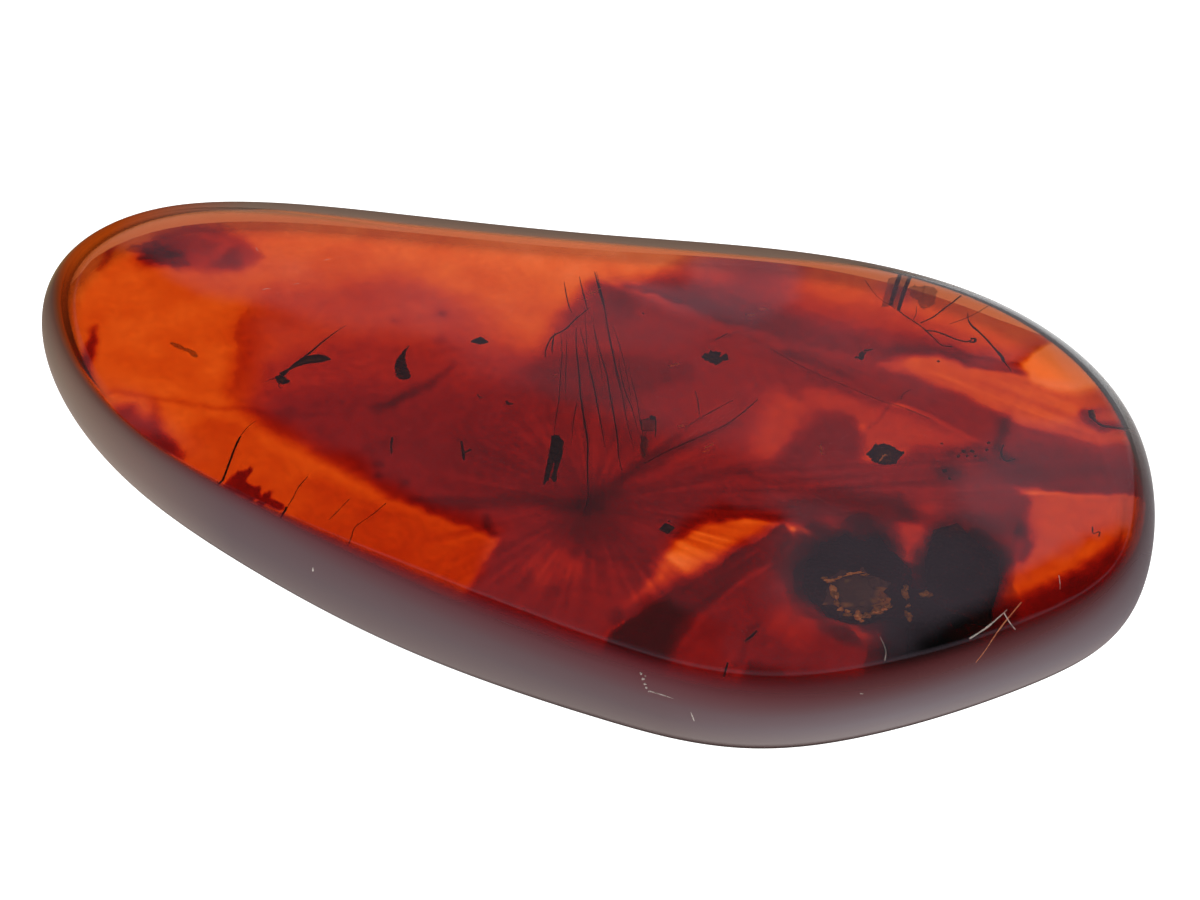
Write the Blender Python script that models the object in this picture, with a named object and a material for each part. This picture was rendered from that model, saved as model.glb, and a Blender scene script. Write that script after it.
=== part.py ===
"""Insect in amber: a thin polished slab of dark amber with insects, wood, bark and plant hairs sealed in it.

The slab is one piece of amber. It is parted at its widest line, so that each sealed thing has a pocket
that opens on the parting plane. Units are metres, the slab lies flat, and the origin is under its middle.
"""

import math

import bmesh
import bpy
import numpy as np
from mathutils import Matrix, Vector, noise

MM = 0.001

# The slab
THICKNESS = 4.4 * MM
GIRDLE = 2.6 * MM  # height of the widest line, where the slab is parted
SEAM = 0.3 * MM  # gap between the two halves
CLEARANCE = 0.3 * MM  # gap between a sealed thing and its pocket
OUTLINE_STEPS = 98  # points round the outline
EDGE_STEPS = 6  # rings between the seam and a flat face

# The widest line, anticlockwise from the wide end. Each row, in millimetres: x, y, how far the top face
# lies inside this line, and how far the bottom face does.
OUTLINE = (
    (26.7, 0.7, 1.3, 2.8),
    (22.9, 10.1, 2.2, 2.3),
    (14.8, 15.4, 2.4, 2.1),
    (5.2, 15.5, 2.8, 2.0),
    (-4.4, 12.8, 2.7, 2.0),
    (-14.1, 10.2, 2.4, 2.1),
    (-23.8, 6.2, 1.6, 2.2),
    (-26.4, -1.6, 1.2, 2.5),
    (-20.0, -9.1, 0.8, 2.5),
    (-11.3, -12.8, 1.1, 1.6),
    (-1.7, -14.9, 2.0, 1.2),
    (7.9, -15.9, 2.6, 2.2),
    (16.7, -14.3, 3.0, 3.4),
    (24.5, -6.6, 2.4, 3.8),
)

LUMP_GRAIN = 5.0  # swellings across a lump
LUMP_SWELL = 1.15  # how far a lump's rough surface may pass its size
CREATURE_VOXEL = 0.035 * MM  # grain at which an insect's limbs are fused to its body
CREATURE_DETAIL = 0.09  # share of the remeshed faces that is kept

# The sealed things: most lie in the parting plane. Their outlines, routes and centres are in millimetres.
BED = GIRDLE
BED_MM = BED / MM
HAIRS = (
    ((-2.8, 4.6), (-2.2, 2.8), (-1.3, 0.3), (-0.7, -1.3)),
    ((-2.7, 5.6), (-1.6, 3.3), (-0.6, 1.6), (0.3, 0.2), (1.1, -1.3), (2.1, -3.5), (2.8, -5.3)),
    ((-4.0, 9.1), (-2.8, 7.0), (-1.4, 4.7), (0.2, 1.6), (2.0, -1.8)),
    ((-3.4, 9.6), (-2.5, 8.1), (-1.2, 5.3), (0.2, 3.1), (1.2, 0.9), (2.5, -1.6), (3.1, -2.8)),
)
STRAND_TIP = 0.45  # a strand's radius at its tips, as a share of that at its middle
HAIR_RADIUS = 0.055 * MM

NEEDLES = (
    ((9.5, 14.0), (9.6, 13.4), (9.7, 12.6)),
    ((10.1, 13.8), (10.2, 13.2), (10.3, 12.4)),
    ((13.8, 13.0), (14.8, 12.4), (15.6, 11.7), (16.1, 11.2)),
)
NEEDLE_RADIUS = 0.1 * MM

SPLINTER = (
    (-0.4, -1.8), (-0.2, -3.2), (0.3, -4.9), (0.5, -5.1), (0.6, -4.5), (0.9, -4.7), (0.6, -3.4), (0.3, -2.3),
)
HUSK = ((-9.4, 0.5), (-9.0, 0.4), (-8.4, 0.0), (-8.1, -0.5), (-8.1, -1.0), (-8.5, -0.9), (-8.8, -0.5), (-9.2, 0.0))
CHIPS = (
    ((3.3, 6.0), (3.9, 5.7), (4.2, 5.9), (4.5, 6.1), (4.4, 6.6), (3.9, 6.5), (3.6, 6.6)),
    ((-6.7, 2.7), (-6.2, 2.7), (-5.9, 3.0), (-6.4, 3.2)),
    ((6.4, -5.8), (6.9, -5.9), (7.0, -5.4), (6.5, -5.3)),
    ((2.8, 0.5), (3.0, 0.1), (3.4, 0.2), (3.3, 0.9), (2.9, 1.1)),
)
INSECT_LEG = ((18.2, 5.6), (18.3, 5.0), (18.7, 4.6), (19.0, 5.1))
INSECT_FEELER = ((20.9, 9.3), (21.4, 8.9), (21.9, 8.8), (22.4, 9.3))
LEG_RADIUS = 0.09 * MM
PLATE_WEAR = 0.2  # share of a flake's thickness that its edges have lost
SPLINTER_THICKNESS = 0.35 * MM
FLAKE_THICKNESS = 0.2 * MM

# The bark lies lower than the rest. Centres and sizes are in millimetres.
BARK_TURN = 24
BARK_LOBE = (15.3, -4.9, 1.45)
BARK_SIZE = (4.4, 5.6, 1.4)
BARK_MORE = (
    ((19.4, -2.6, 1.45), (3.2, 6.4, 1.3)),
    ((18.0, -5.4, 1.4), (4.0, 2.4, 1.0)),
    ((19.4, -7.2, 1.4), (1.4, 2.6, 0.9)),
)
CLOT_CENTRE = (-22.4, 3.3, 1.5)
CLOT_SIZE = (2.6, 1.8, 0.9)
CLOT_TURN = 24
CRUMB_CENTRE = (16.0, -6.4, 3.0)
CRUMB_SIZE = (2.6, 2.8, 0.6)
CRUMB_TURN = 30
WASP_CENTRE = (-12.7, -1.95, BED_MM)
WASP_TURN = 52
BEETLE_CENTRE = (13.57, 3.0, BED_MM)
BEETLE_TURN = 12
MIDGE_CENTRE = (9.95, 9.05, BED_MM)
MIDGE_TURN = 35

# Small rough bits: name, centre, size and turn
BITS = (
    ("dust_blob", (-18.3, -3.2, BED_MM), (1.3, 0.4, 0.35), 10),
    ("frass_blob", (16.9, 4.6, BED_MM), (0.9, 0.5, 0.4), 20),
    ("twig_stub", (3.6, -1.0, BED_MM), (0.3, 0.9, 0.3), 10),
    ("twig_bit", (-3.8, -4.5, BED_MM), (0.25, 1.0, 0.25), 32),
)


def material(name, colour, roughness, alpha=1.0):
    """A Principled material with one colour, given as sRGB from 0 to 1."""
    made = bpy.data.materials.new(name)
    made.use_nodes = True
    shader = made.node_tree.nodes["Principled BSDF"]
    linear = [((c + 0.055) / 1.055) ** 2.4 if c > 0.04 else c / 12.92 for c in colour]
    shader.inputs["Base Color"].default_value = (*linear, 1.0)
    shader.inputs["Roughness"].default_value = roughness
    shader.inputs["Alpha"].default_value = alpha
    made.diffuse_color = (*linear, alpha)
    return made


def finish(name, bm, look):
    """Turns a bmesh into a named object with smooth faces."""
    bmesh.ops.recalc_face_normals(bm, faces=bm.faces)
    mesh = bpy.data.meshes.new(name)
    bm.to_mesh(mesh)
    bm.free()
    mesh.shade_smooth()
    mesh.set_sharp_from_angle(angle=math.radians(35))
    mesh.materials.append(look)
    made = bpy.data.objects.new(name, mesh)
    bpy.context.scene.collection.objects.link(made)
    return made


def closed_curve(rows, count):
    """Positions and slopes along the smooth closed curve through the rows.

    Each span is a cubic. The slopes solve the ring of equations that keeps the curvature continuous.
    """
    points = np.array(rows, float)
    spans = len(points)
    unit = np.eye(spans)
    ring = 4 * unit + np.roll(unit, 1, axis=1) + np.roll(unit, -1, axis=1)
    slopes = np.linalg.solve(ring, 3 * (np.roll(points, -1, axis=0) - np.roll(points, 1, axis=0)))
    along = np.arange(count) * spans / count
    span = along.astype(int)
    u = (along - span)[:, None]
    start, end = points[span], points[(span + 1) % spans]
    leave, arrive = slopes[span], slopes[(span + 1) % spans]
    place = start + leave * u
    place = place + (3 * (end - start) - 2 * leave - arrive) * u**2
    place = place + (2 * (start - end) + leave + arrive) * u**3
    slope = leave + 2 * (3 * (end - start) - 2 * leave - arrive) * u
    slope = slope + 3 * (2 * (start - end) + leave + arrive) * u**2
    return place, slope


def amber_half(name, height, inset_column, look):
    """Half of the slab, from the seam to the flat face at the given height.

    Its edge is a quarter of an ellipse, which starts upright at the widest line and ends level.
    """
    place, slope = closed_curve(OUTLINE, OUTLINE_STEPS)
    outward = np.column_stack((slope[:, 1], -slope[:, 0]))
    outward /= np.linalg.norm(outward, axis=1)[:, None]
    depth = abs(height - GIRDLE)
    side = math.copysign(1, height - GIRDLE)
    first = math.asin(SEAM / 2 / depth)
    rings = []
    bm = bmesh.new()
    for angle in np.linspace(first, math.pi / 2, EDGE_STEPS + 1):
        inset = place[:, inset_column] * (1 - math.cos(angle))
        ring = (place[:, :2] - outward * inset[:, None]) * MM
        level = GIRDLE + side * depth * math.sin(angle)
        rings.append([bm.verts.new((x, y, level)) for x, y in ring])
    for lower, upper in zip(rings, rings[1:]):
        for i in range(OUTLINE_STEPS):
            bm.faces.new((lower[i - 1], lower[i], upper[i], upper[i - 1]))
    bm.faces.new(rings[0])
    bm.faces.new(rings[-1])
    return finish(name, bm, look)


def placed(centre, turn):
    """The matrix that turns a thing by degrees about the upright and moves it to a centre in millimetres."""
    return Matrix.Translation(Vector(centre) * MM) @ Matrix.Rotation(math.radians(turn), 4, "Z")


def lump(name, centre, size, turn, look, detail=2, wobble=0.35, seed=1.0):
    """A rough lump: a ball stretched to the size, its surface pushed in and out by smooth noise."""
    bm = bmesh.new()
    bmesh.ops.create_icosphere(bm, subdivisions=detail, radius=0.5)
    for vert in bm.verts:
        push = noise.noise(vert.co * LUMP_GRAIN + Vector((seed, -seed, 2 * seed)))
        vert.co *= 1 + wobble * push
    bmesh.ops.scale(bm, vec=Vector(size) * MM, verts=bm.verts)
    bmesh.ops.transform(bm, matrix=placed(centre, turn), verts=bm.verts)
    return finish(name, bm, look)


def plate(name, outline, thickness, look):
    """A flat flake: an outline given its thickness about the bed, with a worn edge."""
    bm = bmesh.new()
    low = BED - thickness / 2
    face = bm.faces.new([bm.verts.new((x * MM, y * MM, low)) for x, y in outline])
    grown = bmesh.ops.extrude_face_region(bm, geom=[face])
    raised = [item for item in grown["geom"] if isinstance(item, bmesh.types.BMVert)]
    bmesh.ops.translate(bm, vec=(0, 0, thickness), verts=raised)
    bmesh.ops.recalc_face_normals(bm, faces=bm.faces)
    bmesh.ops.bevel(bm, geom=bm.edges[:], offset=thickness * PLATE_WEAR, segments=1, affect="EDGES")
    return finish(name, bm, look)


def strand(name, route, radius, look):
    """A hair or needle: a round thread along the route, thinner towards both ends."""
    curve = bpy.data.curves.new(name, "CURVE")
    curve.dimensions = "3D"
    curve.bevel_depth = radius
    curve.bevel_resolution = 1
    curve.resolution_u = 2
    curve.use_fill_caps = True
    spline = curve.splines.new("NURBS")
    spline.points.add(len(route) - 1)
    spline.order_u = min(4, len(route))
    spline.use_endpoint_u = True
    for i, (point, (x, y)) in enumerate(zip(spline.points, route)):
        along = i / (len(route) - 1)
        point.co = (x * MM, y * MM, BED, 1.0)
        point.radius = STRAND_TIP + (1 - STRAND_TIP) * math.sin(math.pi * along)
    curve.materials.append(look)
    made = bpy.data.objects.new(name, curve)
    bpy.context.scene.collection.objects.link(made)
    return made


def creature(name, parts, centre, turn, look):
    """An insect as one skin over a skeleton.

    Each part is a chain of joints in millimetres: x, y, height and radius. A chain that starts on another
    one's joint grows out of it. The Skin modifier wraps them all in one surface.
    """
    mesh = bpy.data.meshes.new(name)
    joints, bones, radii = [], [], []
    for chain in parts:
        last = None
        for x, y, z, radius in chain:
            if (x, y, z) not in joints:
                joints.append((x, y, z))
                radii.append(radius)
            here = joints.index((x, y, z))
            if last is not None:
                bones.append((last, here))
            last = here
    where = placed(centre, turn)
    mesh.from_pydata([where @ (Vector(joint) * MM) for joint in joints], bones, [])
    mesh.materials.append(look)
    made = bpy.data.objects.new(name, mesh)
    bpy.context.scene.collection.objects.link(made)
    skin = made.modifiers.new("skin", "SKIN")
    skin.use_smooth_shade = True
    for sheath, radius in zip(mesh.skin_vertices[0].data, radii):
        sheath.radius = (radius * MM, radius * MM)
    mesh.skin_vertices[0].data[0].use_root = True
    smooth = made.modifiers.new("smooth", "SUBSURF")
    smooth.levels = smooth.render_levels = 1
    fuse = made.modifiers.new("fuse", "REMESH")
    fuse.mode = "VOXEL"
    fuse.voxel_size = CREATURE_VOXEL
    fuse.use_smooth_shade = True
    thin = made.modifiers.new("thin", "DECIMATE")
    thin.ratio = CREATURE_DETAIL
    return made


def mirrored(chain):
    return [(x, -y, z, radius) for x, y, z, radius in chain]


# --- the sealed things ---------------------------------------------------------------------------------


def wasp(look):
    """A small wasp, 2.8 mm long: round head, thin waist, long pointed tail and one raised wing."""
    body = [(-1.2, 0, 0, 0.24), (-0.92, 0, 0, 0.36), (-0.6, 0, 0.02, 0.12), (-0.25, 0, 0.04, 0.26)]
    tail = [body[-1], (0.2, 0, 0.05, 0.34), (0.75, 0, 0.03, 0.24), (1.2, 0, 0, 0.12), (1.5, 0, 0, 0.05)]
    chains = [body, tail]
    for joint, reach, lean in ((1, 0.75, -0.25), (3, 0.7, -0.1), (3, 0.75, 0.35)):
        x, y, z, radius = body[joint]
        knee = (x + lean * 0.5, reach * 0.6, 0.05, 0.05)
        leg = [(x, y, z, radius), knee, (x + lean, reach, -0.15, 0.04)]
        chains += [leg, mirrored(leg)]
    feeler = [body[0], (-1.45, 0.2, 0.1, 0.04), (-1.7, 0.42, 0.05, 0.035)]
    chains += [feeler, mirrored(feeler)]
    wing = [tail[1], (0.3, 0.5, 0.12, 0.06), (0.9, 1.2, 0.16, 0.08), (1.3, 2.1, 0.1, 0.04)]
    chains.append(wing)
    return creature("wasp", chains, WASP_CENTRE, WASP_TURN, look)


def beetle(look):
    """A dark beetle, 1.7 mm long: domed body, small head, six short legs."""
    head = [(-0.8, 0, 0, 0.16), (-0.6, 0, 0, 0.26)]
    back = [(-0.3, 0, 0, 0.5), (0.05, 0, 0, 0.6), (0.4, 0, 0, 0.5), (0.75, 0, 0, 0.2)]
    body = head + back
    chains = [body]
    for joint, reach, lean in ((1, 0.7, -0.15), (2, 0.85, 0.0), (4, 0.8, 0.15)):
        x, y, z, radius = body[joint]
        knee = (x + lean, reach * 0.85, 0.02, 0.07)
        leg = [(x, y, z, radius), knee, (x + lean * 1.6, reach, -0.15, 0.05)]
        chains += [leg, mirrored(leg)]
    return creature("beetle", chains, BEETLE_CENTRE, BEETLE_TURN, look)


def midge(look):
    """A midge under 1 mm long."""
    body = [(-0.3, 0, 0, 0.13), (-0.1, 0, 0, 0.16), (0.15, 0, 0, 0.12), (0.42, 0, 0, 0.05)]
    leg = [body[1], (-0.05, 0.25, 0.02, 0.035), (0.08, 0.42, -0.08, 0.03)]
    wing = [body[1], (0.15, 0.22, 0.08, 0.04), (0.45, 0.4, 0.1, 0.06)]
    return creature("midge", [body, leg, mirrored(leg), wing], MIDGE_CENTRE, MIDGE_TURN, look)


def union(whole, piece):
    """Fuses the piece into the whole, and leaves the piece out of the build."""
    join = whole.modifiers.new("join", "BOOLEAN")
    join.operation = "UNION"
    join.solver = "EXACT"
    join.object = piece
    helper(piece)


def helper(made):
    made.hide_render = True
    made.display_type = "WIRE"
    return made


def bark_mass(look):
    """Two rough lobes of bark with a bridge between them and a neck in front."""
    whole = lump("bark_mass", BARK_LOBE, BARK_SIZE, BARK_TURN, look, 3, 0.4, 3.1)
    for number, (centre, size) in enumerate(BARK_MORE):
        union(whole, lump(f"bark_more_{number}", centre, size, BARK_TURN, look, 2, 0.4, 1.7 + number))
    return whole


# --- the pockets ---------------------------------------------------------------------------------------


def box_round(things):
    """A pocket: the box round the things with clearance, which reaches across the parting plane."""
    graph = bpy.context.evaluated_depsgraph_get()
    corners = []
    for thing in things:
        mesh = thing.evaluated_get(graph).to_mesh()
        corners += [thing.matrix_world @ vert.co for vert in mesh.vertices]
    corners = np.array(corners)
    low, high = corners.min(axis=0) - CLEARANCE, corners.max(axis=0) + CLEARANCE
    low[2] = min(low[2], GIRDLE - SEAM)
    high[2] = max(high[2], GIRDLE + SEAM)
    bm = bmesh.new()
    bmesh.ops.create_cube(bm, size=1)
    bmesh.ops.scale(bm, vec=high - low, verts=bm.verts)
    bmesh.ops.translate(bm, vec=(low + high) / 2, verts=bm.verts)
    return bm


def pocket_object(name, bm, pockets):
    mesh = bpy.data.meshes.new(name)
    bm.to_mesh(mesh)
    bm.free()
    made = helper(bpy.data.objects.new(name, mesh))
    pockets.objects.link(made)
    return made


def well(centre, size, turn):
    """A pocket for a lump: an upright oval shaft from past the lump to past the parting plane."""
    bm = bmesh.new()
    reach = size[2] / 2 * MM + CLEARANCE
    bottom = min(centre[2] * MM - reach, GIRDLE - SEAM)
    top = max(centre[2] * MM + reach, GIRDLE + SEAM)
    bmesh.ops.create_cone(
        bm, cap_ends=True, segments=24, radius1=0.5, radius2=0.5, depth=top - bottom
    )
    grow = [LUMP_SWELL * side * MM + 2 * CLEARANCE for side in size[:2]]
    middle = (*centre[:2], (top + bottom) / 2 / MM)
    bmesh.ops.scale(bm, vec=(*grow, 1), verts=bm.verts)
    bmesh.ops.transform(bm, matrix=placed(middle, turn), verts=bm.verts)
    return bm


def cut_pockets(halves, pockets):
    for half in halves:
        cut = half.modifiers.new("pockets", "BOOLEAN")
        cut.operation = "DIFFERENCE"
        cut.solver = "EXACT"
        cut.operand_type = "COLLECTION"
        cut.collection = pockets


def main():
    for old in list(bpy.data.objects):
        bpy.data.objects.remove(old, do_unlink=True)
    amber = material("clear_amber", (0.72, 0.24, 0.06), 0.05, 0.45)
    chitin = material("insect_chitin", (0.13, 0.08, 0.07), 0.4)
    wood = material("old_wood", (0.16, 0.09, 0.08), 0.8)
    bark = material("bark", (0.14, 0.1, 0.09), 0.9)
    brown = material("brown_bark", (0.34, 0.24, 0.14), 0.85)
    halves = (
        amber_half("amber_upper", THICKNESS, 2, amber),
        amber_half("amber_lower", 0.0, 3, amber),
    )
    sealed = [[wasp(chitin)], [beetle(chitin)], [midge(chitin)]]
    sealed.append([strand("insect_leg", INSECT_LEG, LEG_RADIUS, chitin)])
    sealed.append([strand("insect_feeler", INSECT_FEELER, LEG_RADIUS, chitin)])
    sealed.append([plate("wood_splinter", SPLINTER, SPLINTER_THICKNESS, wood)])
    sealed.append([plate("seed_husk", HUSK, FLAKE_THICKNESS, wood)])
    for number, outline in enumerate(CHIPS, 1):
        sealed.append([plate(f"flake_{number}", outline, FLAKE_THICKNESS, bark)])
    for name, centre, size, turn in BITS:
        sealed.append([lump(name, centre, size, turn, wood if "twig" in name else bark)])
    hairs = [
        strand(f"plant_hair_{number}", route, HAIR_RADIUS, wood)
        for number, route in enumerate(HAIRS, 1)
    ]
    sealed.append(hairs)
    needles = [
        strand(f"needle_{number}", route, NEEDLE_RADIUS, wood)
        for number, route in enumerate(NEEDLES, 1)
    ]
    sealed += [needles[:2], needles[2:]]
    bark_mass(bark)
    lump("bark_clot", CLOT_CENTRE, CLOT_SIZE, CLOT_TURN, bark, 3, 0.5, 0.4)
    lump("bark_crumb", CRUMB_CENTRE, CRUMB_SIZE, CRUMB_TURN, brown, 3, 0.5, 2.2)
    bpy.context.view_layer.update()
    pockets = bpy.data.collections.new("pockets")
    pockets.hide_render = True
    bpy.context.scene.collection.children.link(pockets)
    for number, things in enumerate(sealed, 1):
        pocket_object(f"pocket_{number}", box_round(things), pockets)
    lobes = ((BARK_LOBE, BARK_SIZE), *BARK_MORE)
    for number, (centre, size) in enumerate(lobes, 1):
        pocket_object(f"bark_pocket_{number}", well(centre, size, BARK_TURN), pockets)
    pocket_object("clot_pocket", well(CLOT_CENTRE, CLOT_SIZE, CLOT_TURN), pockets)
    pocket_object("crumb_pocket", well(CRUMB_CENTRE, CRUMB_SIZE, CRUMB_TURN), pockets)
    cut_pockets(halves, pockets)


main()
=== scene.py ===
import math

import bpy
import numpy as np
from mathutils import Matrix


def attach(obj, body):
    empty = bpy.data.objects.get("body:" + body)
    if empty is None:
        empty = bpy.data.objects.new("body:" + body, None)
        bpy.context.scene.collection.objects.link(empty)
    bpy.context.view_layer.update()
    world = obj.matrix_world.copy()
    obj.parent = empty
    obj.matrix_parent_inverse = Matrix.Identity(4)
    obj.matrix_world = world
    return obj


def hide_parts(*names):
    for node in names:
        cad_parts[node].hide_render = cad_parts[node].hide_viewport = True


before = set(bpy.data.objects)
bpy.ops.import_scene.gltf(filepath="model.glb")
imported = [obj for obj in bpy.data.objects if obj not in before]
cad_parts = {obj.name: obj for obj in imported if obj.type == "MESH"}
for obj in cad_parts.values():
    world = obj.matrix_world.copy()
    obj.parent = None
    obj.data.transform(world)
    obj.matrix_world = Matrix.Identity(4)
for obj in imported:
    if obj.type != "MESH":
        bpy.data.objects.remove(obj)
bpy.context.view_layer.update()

MM = 0.001

# The slab, as in the part: its height, the height of its widest line, and that line, anticlockwise from the
# wide end. Each row, in millimetres: x, y, how far inside the line the top face lies, and the bottom face.
THICKNESS = 4.4
GIRDLE = 2.6
OUTLINE = np.array((
    (26.7, 0.7, 1.3, 2.8),
    (22.9, 10.1, 2.2, 2.3),
    (14.8, 15.4, 2.4, 2.1),
    (5.2, 15.5, 2.8, 2.0),
    (-4.4, 12.8, 2.7, 2.0),
    (-14.1, 10.2, 2.4, 2.1),
    (-23.8, 6.2, 1.6, 2.2),
    (-26.4, -1.6, 1.2, 2.5),
    (-20.0, -9.1, 0.8, 2.5),
    (-11.3, -12.8, 1.1, 1.6),
    (-1.7, -14.9, 2.0, 1.2),
    (7.9, -15.9, 2.6, 2.2),
    (16.7, -14.3, 3.0, 3.4),
    (24.5, -6.6, 2.4, 3.8),
))

# The view: the camera's turn, height angle and distance, and the point it looks at, in millimetres
VIEW_TURN, VIEW_HEIGHT, VIEW_DISTANCE = 24.0, 40.0, 250.0
VIEW_CENTRE = (1.2, -0.46, 2.2)
PIXELS_PER_MM = 22.24
FRAME_WIDTH = 1200
SENSOR = 36.0

TABLE_GLOW = 1.5


# --- small tools ---------------------------------------------------------------------------------------


def linear(code):
    """An sRGB hex colour as linear red, green, blue and alpha."""
    parts = [int(code[i : i + 2], 16) / 255 for i in (1, 3, 5)]
    return (*[((c + 0.055) / 1.055) ** 2.4 if c > 0.04045 else c / 12.92 for c in parts], 1.0)


def node(tree, kind, inputs=None, **settings):
    """Adds a node, sets its settings, and sets or links its inputs by name or number."""
    made = tree.nodes.new(kind)
    for key, value in settings.items():
        setattr(made, key, value)
    for key, value in (inputs or {}).items():
        socket = made.inputs[key]
        if isinstance(value, bpy.types.NodeSocket):
            tree.links.new(value, socket)
        else:
            socket.default_value = value
    return made


def mix(tree, share, first, second):
    """The output of a colour mix, first at share 0 and second at 1, each a hex colour or a socket."""
    first, second = (linear(one) if isinstance(one, str) else one for one in (first, second))
    return node(tree, "ShaderNodeMix", {0: share, 6: first, 7: second}, data_type="RGBA").outputs[2]


def spread(tree, value, low, high):
    """The output of a map range: 0 at low, 1 at high, held beyond them."""
    return node(tree, "ShaderNodeMapRange", {"Value": value, "From Min": low, "From Max": high}).outputs[0]


def maths(tree, operation, *values, clamp=False):
    """The output of a math node. Clamp holds it between 0 and 1."""
    return node(tree, "ShaderNodeMath", dict(enumerate(values)), operation=operation,
        use_clamp=clamp).outputs[0]


def noise(tree, place, **settings):
    """The output of a noise texture at a place."""
    inputs = {"Vector": place, **{key.capitalize(): value for key, value in settings.items()}}
    return node(tree, "ShaderNodeTexNoise", inputs).outputs["Fac"]


def bumped(tree, height, strength, distance):
    """The normal of a bump, its distance in millimetres."""
    inputs = {"Height": height, "Strength": strength, "Distance": distance * MM}
    return node(tree, "ShaderNodeBump", inputs).outputs[0]


def absorbing(tree, red, green, blue, strongest):
    """The volume of a clear filter that takes away this much of each colour per millimetre."""
    passed = [1 - band / strongest for band in (red, green, blue)]
    return node(tree, "ShaderNodeVolumeAbsorption", {"Color": (*passed, 1.0),
        "Density": strongest / MM}).outputs[0]


def ramp(tree, value, stops):
    """The output of a colour ramp through stops, each a place from 0 to 1 and a hex colour."""
    made = node(tree, "ShaderNodeValToRGB", {0: value})
    marks = made.color_ramp.elements
    for mark, (place, code) in zip(marks, (stops[0], stops[-1])):
        mark.position, mark.color = place, linear(code)
    for place, code in stops[1:-1]:
        marks.new(place).color = linear(code)
    return made.outputs[0]


def finished(look, tree, inputs, volume=None):
    """The look with a principled surface of these inputs, and a volume if it has one."""
    surface = node(tree, "ShaderNodeBsdfPrincipled", inputs).outputs[0]
    node(tree, "ShaderNodeOutputMaterial", {"Surface": surface, **({"Volume": volume} if volume else {})})
    return look


def material(name):
    made = bpy.data.materials.new(name)
    made.use_nodes = True
    made.node_tree.nodes.clear()
    return made, made.node_tree


def ease(x):
    """0 below 0, 1 above 1, and 3x^2 - 2x^3 between."""
    x = np.clip(x, 0, 1)
    return x * x * (3 - 2 * x)


def drift(x, y, size, seed):
    """Soft random values from -1 to 1: a seeded lattice of that size, eased between its corners."""
    count = 96
    lattice = np.random.default_rng(seed).uniform(-1, 1, (count, count))
    u, v = x / size + 0.37, y / size + 0.71
    i, j = np.floor(u).astype(int) % count, np.floor(v).astype(int) % count
    i2, j2 = (i + 1) % count, (j + 1) % count
    a, b = ease(u - np.floor(u)), ease(v - np.floor(v))
    low = lattice[i, j] * (1 - a) + lattice[i2, j] * a
    high = lattice[i, j2] * (1 - a) + lattice[i2, j2] * a
    return low * (1 - b) + high * b


def combed(x, y, turn, long, fine, seed):
    """Drift drawn out along a direction: as long as long, as fine as fine across it, at two scales."""
    c, s = math.cos(math.radians(turn)), math.sin(math.radians(turn))
    u, v = x * c + y * s, y * c - x * s
    return 0.6 * drift(u / long, v / fine, 1, seed) + 0.4 * drift(u / long, v / fine, 0.45, seed + 1)


def closed_curve(rows, count):
    """Places and slopes along the smooth closed curve through the rows.

    Each span is the cubic with the ends' places and slopes, place + slope u + b u^2 + c u^3. The slopes
    solve the ring of equations slope before + 4 slope + slope after = 3 (place after - place before), which
    keeps the curvature continuous.
    """
    spans = len(rows)
    unit = np.eye(spans)
    ring = 4 * unit + np.roll(unit, 1, axis=1) + np.roll(unit, -1, axis=1)
    slopes = np.linalg.solve(ring, 3 * (np.roll(rows, -1, axis=0) - np.roll(rows, 1, axis=0)))
    along = np.arange(count) * spans / count
    span = along.astype(int)
    u = (along - span)[:, None]
    start, end = rows[span], rows[(span + 1) % spans]
    leave, arrive = slopes[span], slopes[(span + 1) % spans]
    b = 3 * (end - start) - 2 * leave - arrive
    c = 2 * (start - end) + leave + arrive
    return start + leave * u + b * u**2 + c * u**3, leave + 2 * b * u + 3 * c * u**2


def piece(name, points, faces, look, smooth=True, **values):
    """A closed mesh from points in millimetres and faces, with float attributes, on the root."""
    mesh = bpy.data.meshes.new(name)
    mesh.from_pydata((np.asarray(points) * MM).tolist(), [], faces)
    mesh.polygons.foreach_set("use_smooth", np.full(len(mesh.polygons), smooth))
    for key, array in values.items():
        mesh.attributes.new(key, "FLOAT", "POINT").data.foreach_set("value", array)
    mesh.materials.append(look)
    made = bpy.data.objects.new(name, mesh)
    bpy.context.scene.collection.objects.link(made)
    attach(made, "root")
    return made


def grid(rows, columns, close=False, first=0):
    """Quads between rows of numbered points. Close joins each row's end to its start."""
    i = np.arange(rows - 1)[:, None]
    j = np.arange(columns if close else columns - 1)[None, :]
    k = (j + 1) % columns
    corners = (i * columns + j, i * columns + k, (i + 1) * columns + k, (i + 1) * columns + j)
    return (np.stack(np.broadcast_arrays(*corners), -1).reshape(-1, 4) + first).tolist()


# --- the amber -----------------------------------------------------------------------------------------

EDGE_PLACE, EDGE_SLOPE = closed_curve(OUTLINE, 480)
EDGE_OUTWARD = np.column_stack((EDGE_SLOPE[:, 1], -EDGE_SLOPE[:, 0]))
EDGE_OUTWARD /= np.linalg.norm(EDGE_OUTWARD, axis=1)[:, None]


def edge_ring(level, further_in=0.0):
    """The slab's outline at a height: quarter ellipses above and below the widest line, moved in if asked."""
    above = level > GIRDLE
    depth = THICKNESS - GIRDLE if above else GIRDLE
    inset = EDGE_PLACE[:, 2 if above else 3]
    rise = min(abs(level - GIRDLE) / depth, 1.0)
    inward = inset * (1 - math.sqrt(1 - rise**2)) + further_in
    return EDGE_PLACE[:, :2] - EDGE_OUTWARD * inward[:, None]


# How much red, green and blue a millimetre of amber takes away, and the density these are shares of
AMBER_ABSORPTION = (0.094, 0.443, 0.765, 0.8)


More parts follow.
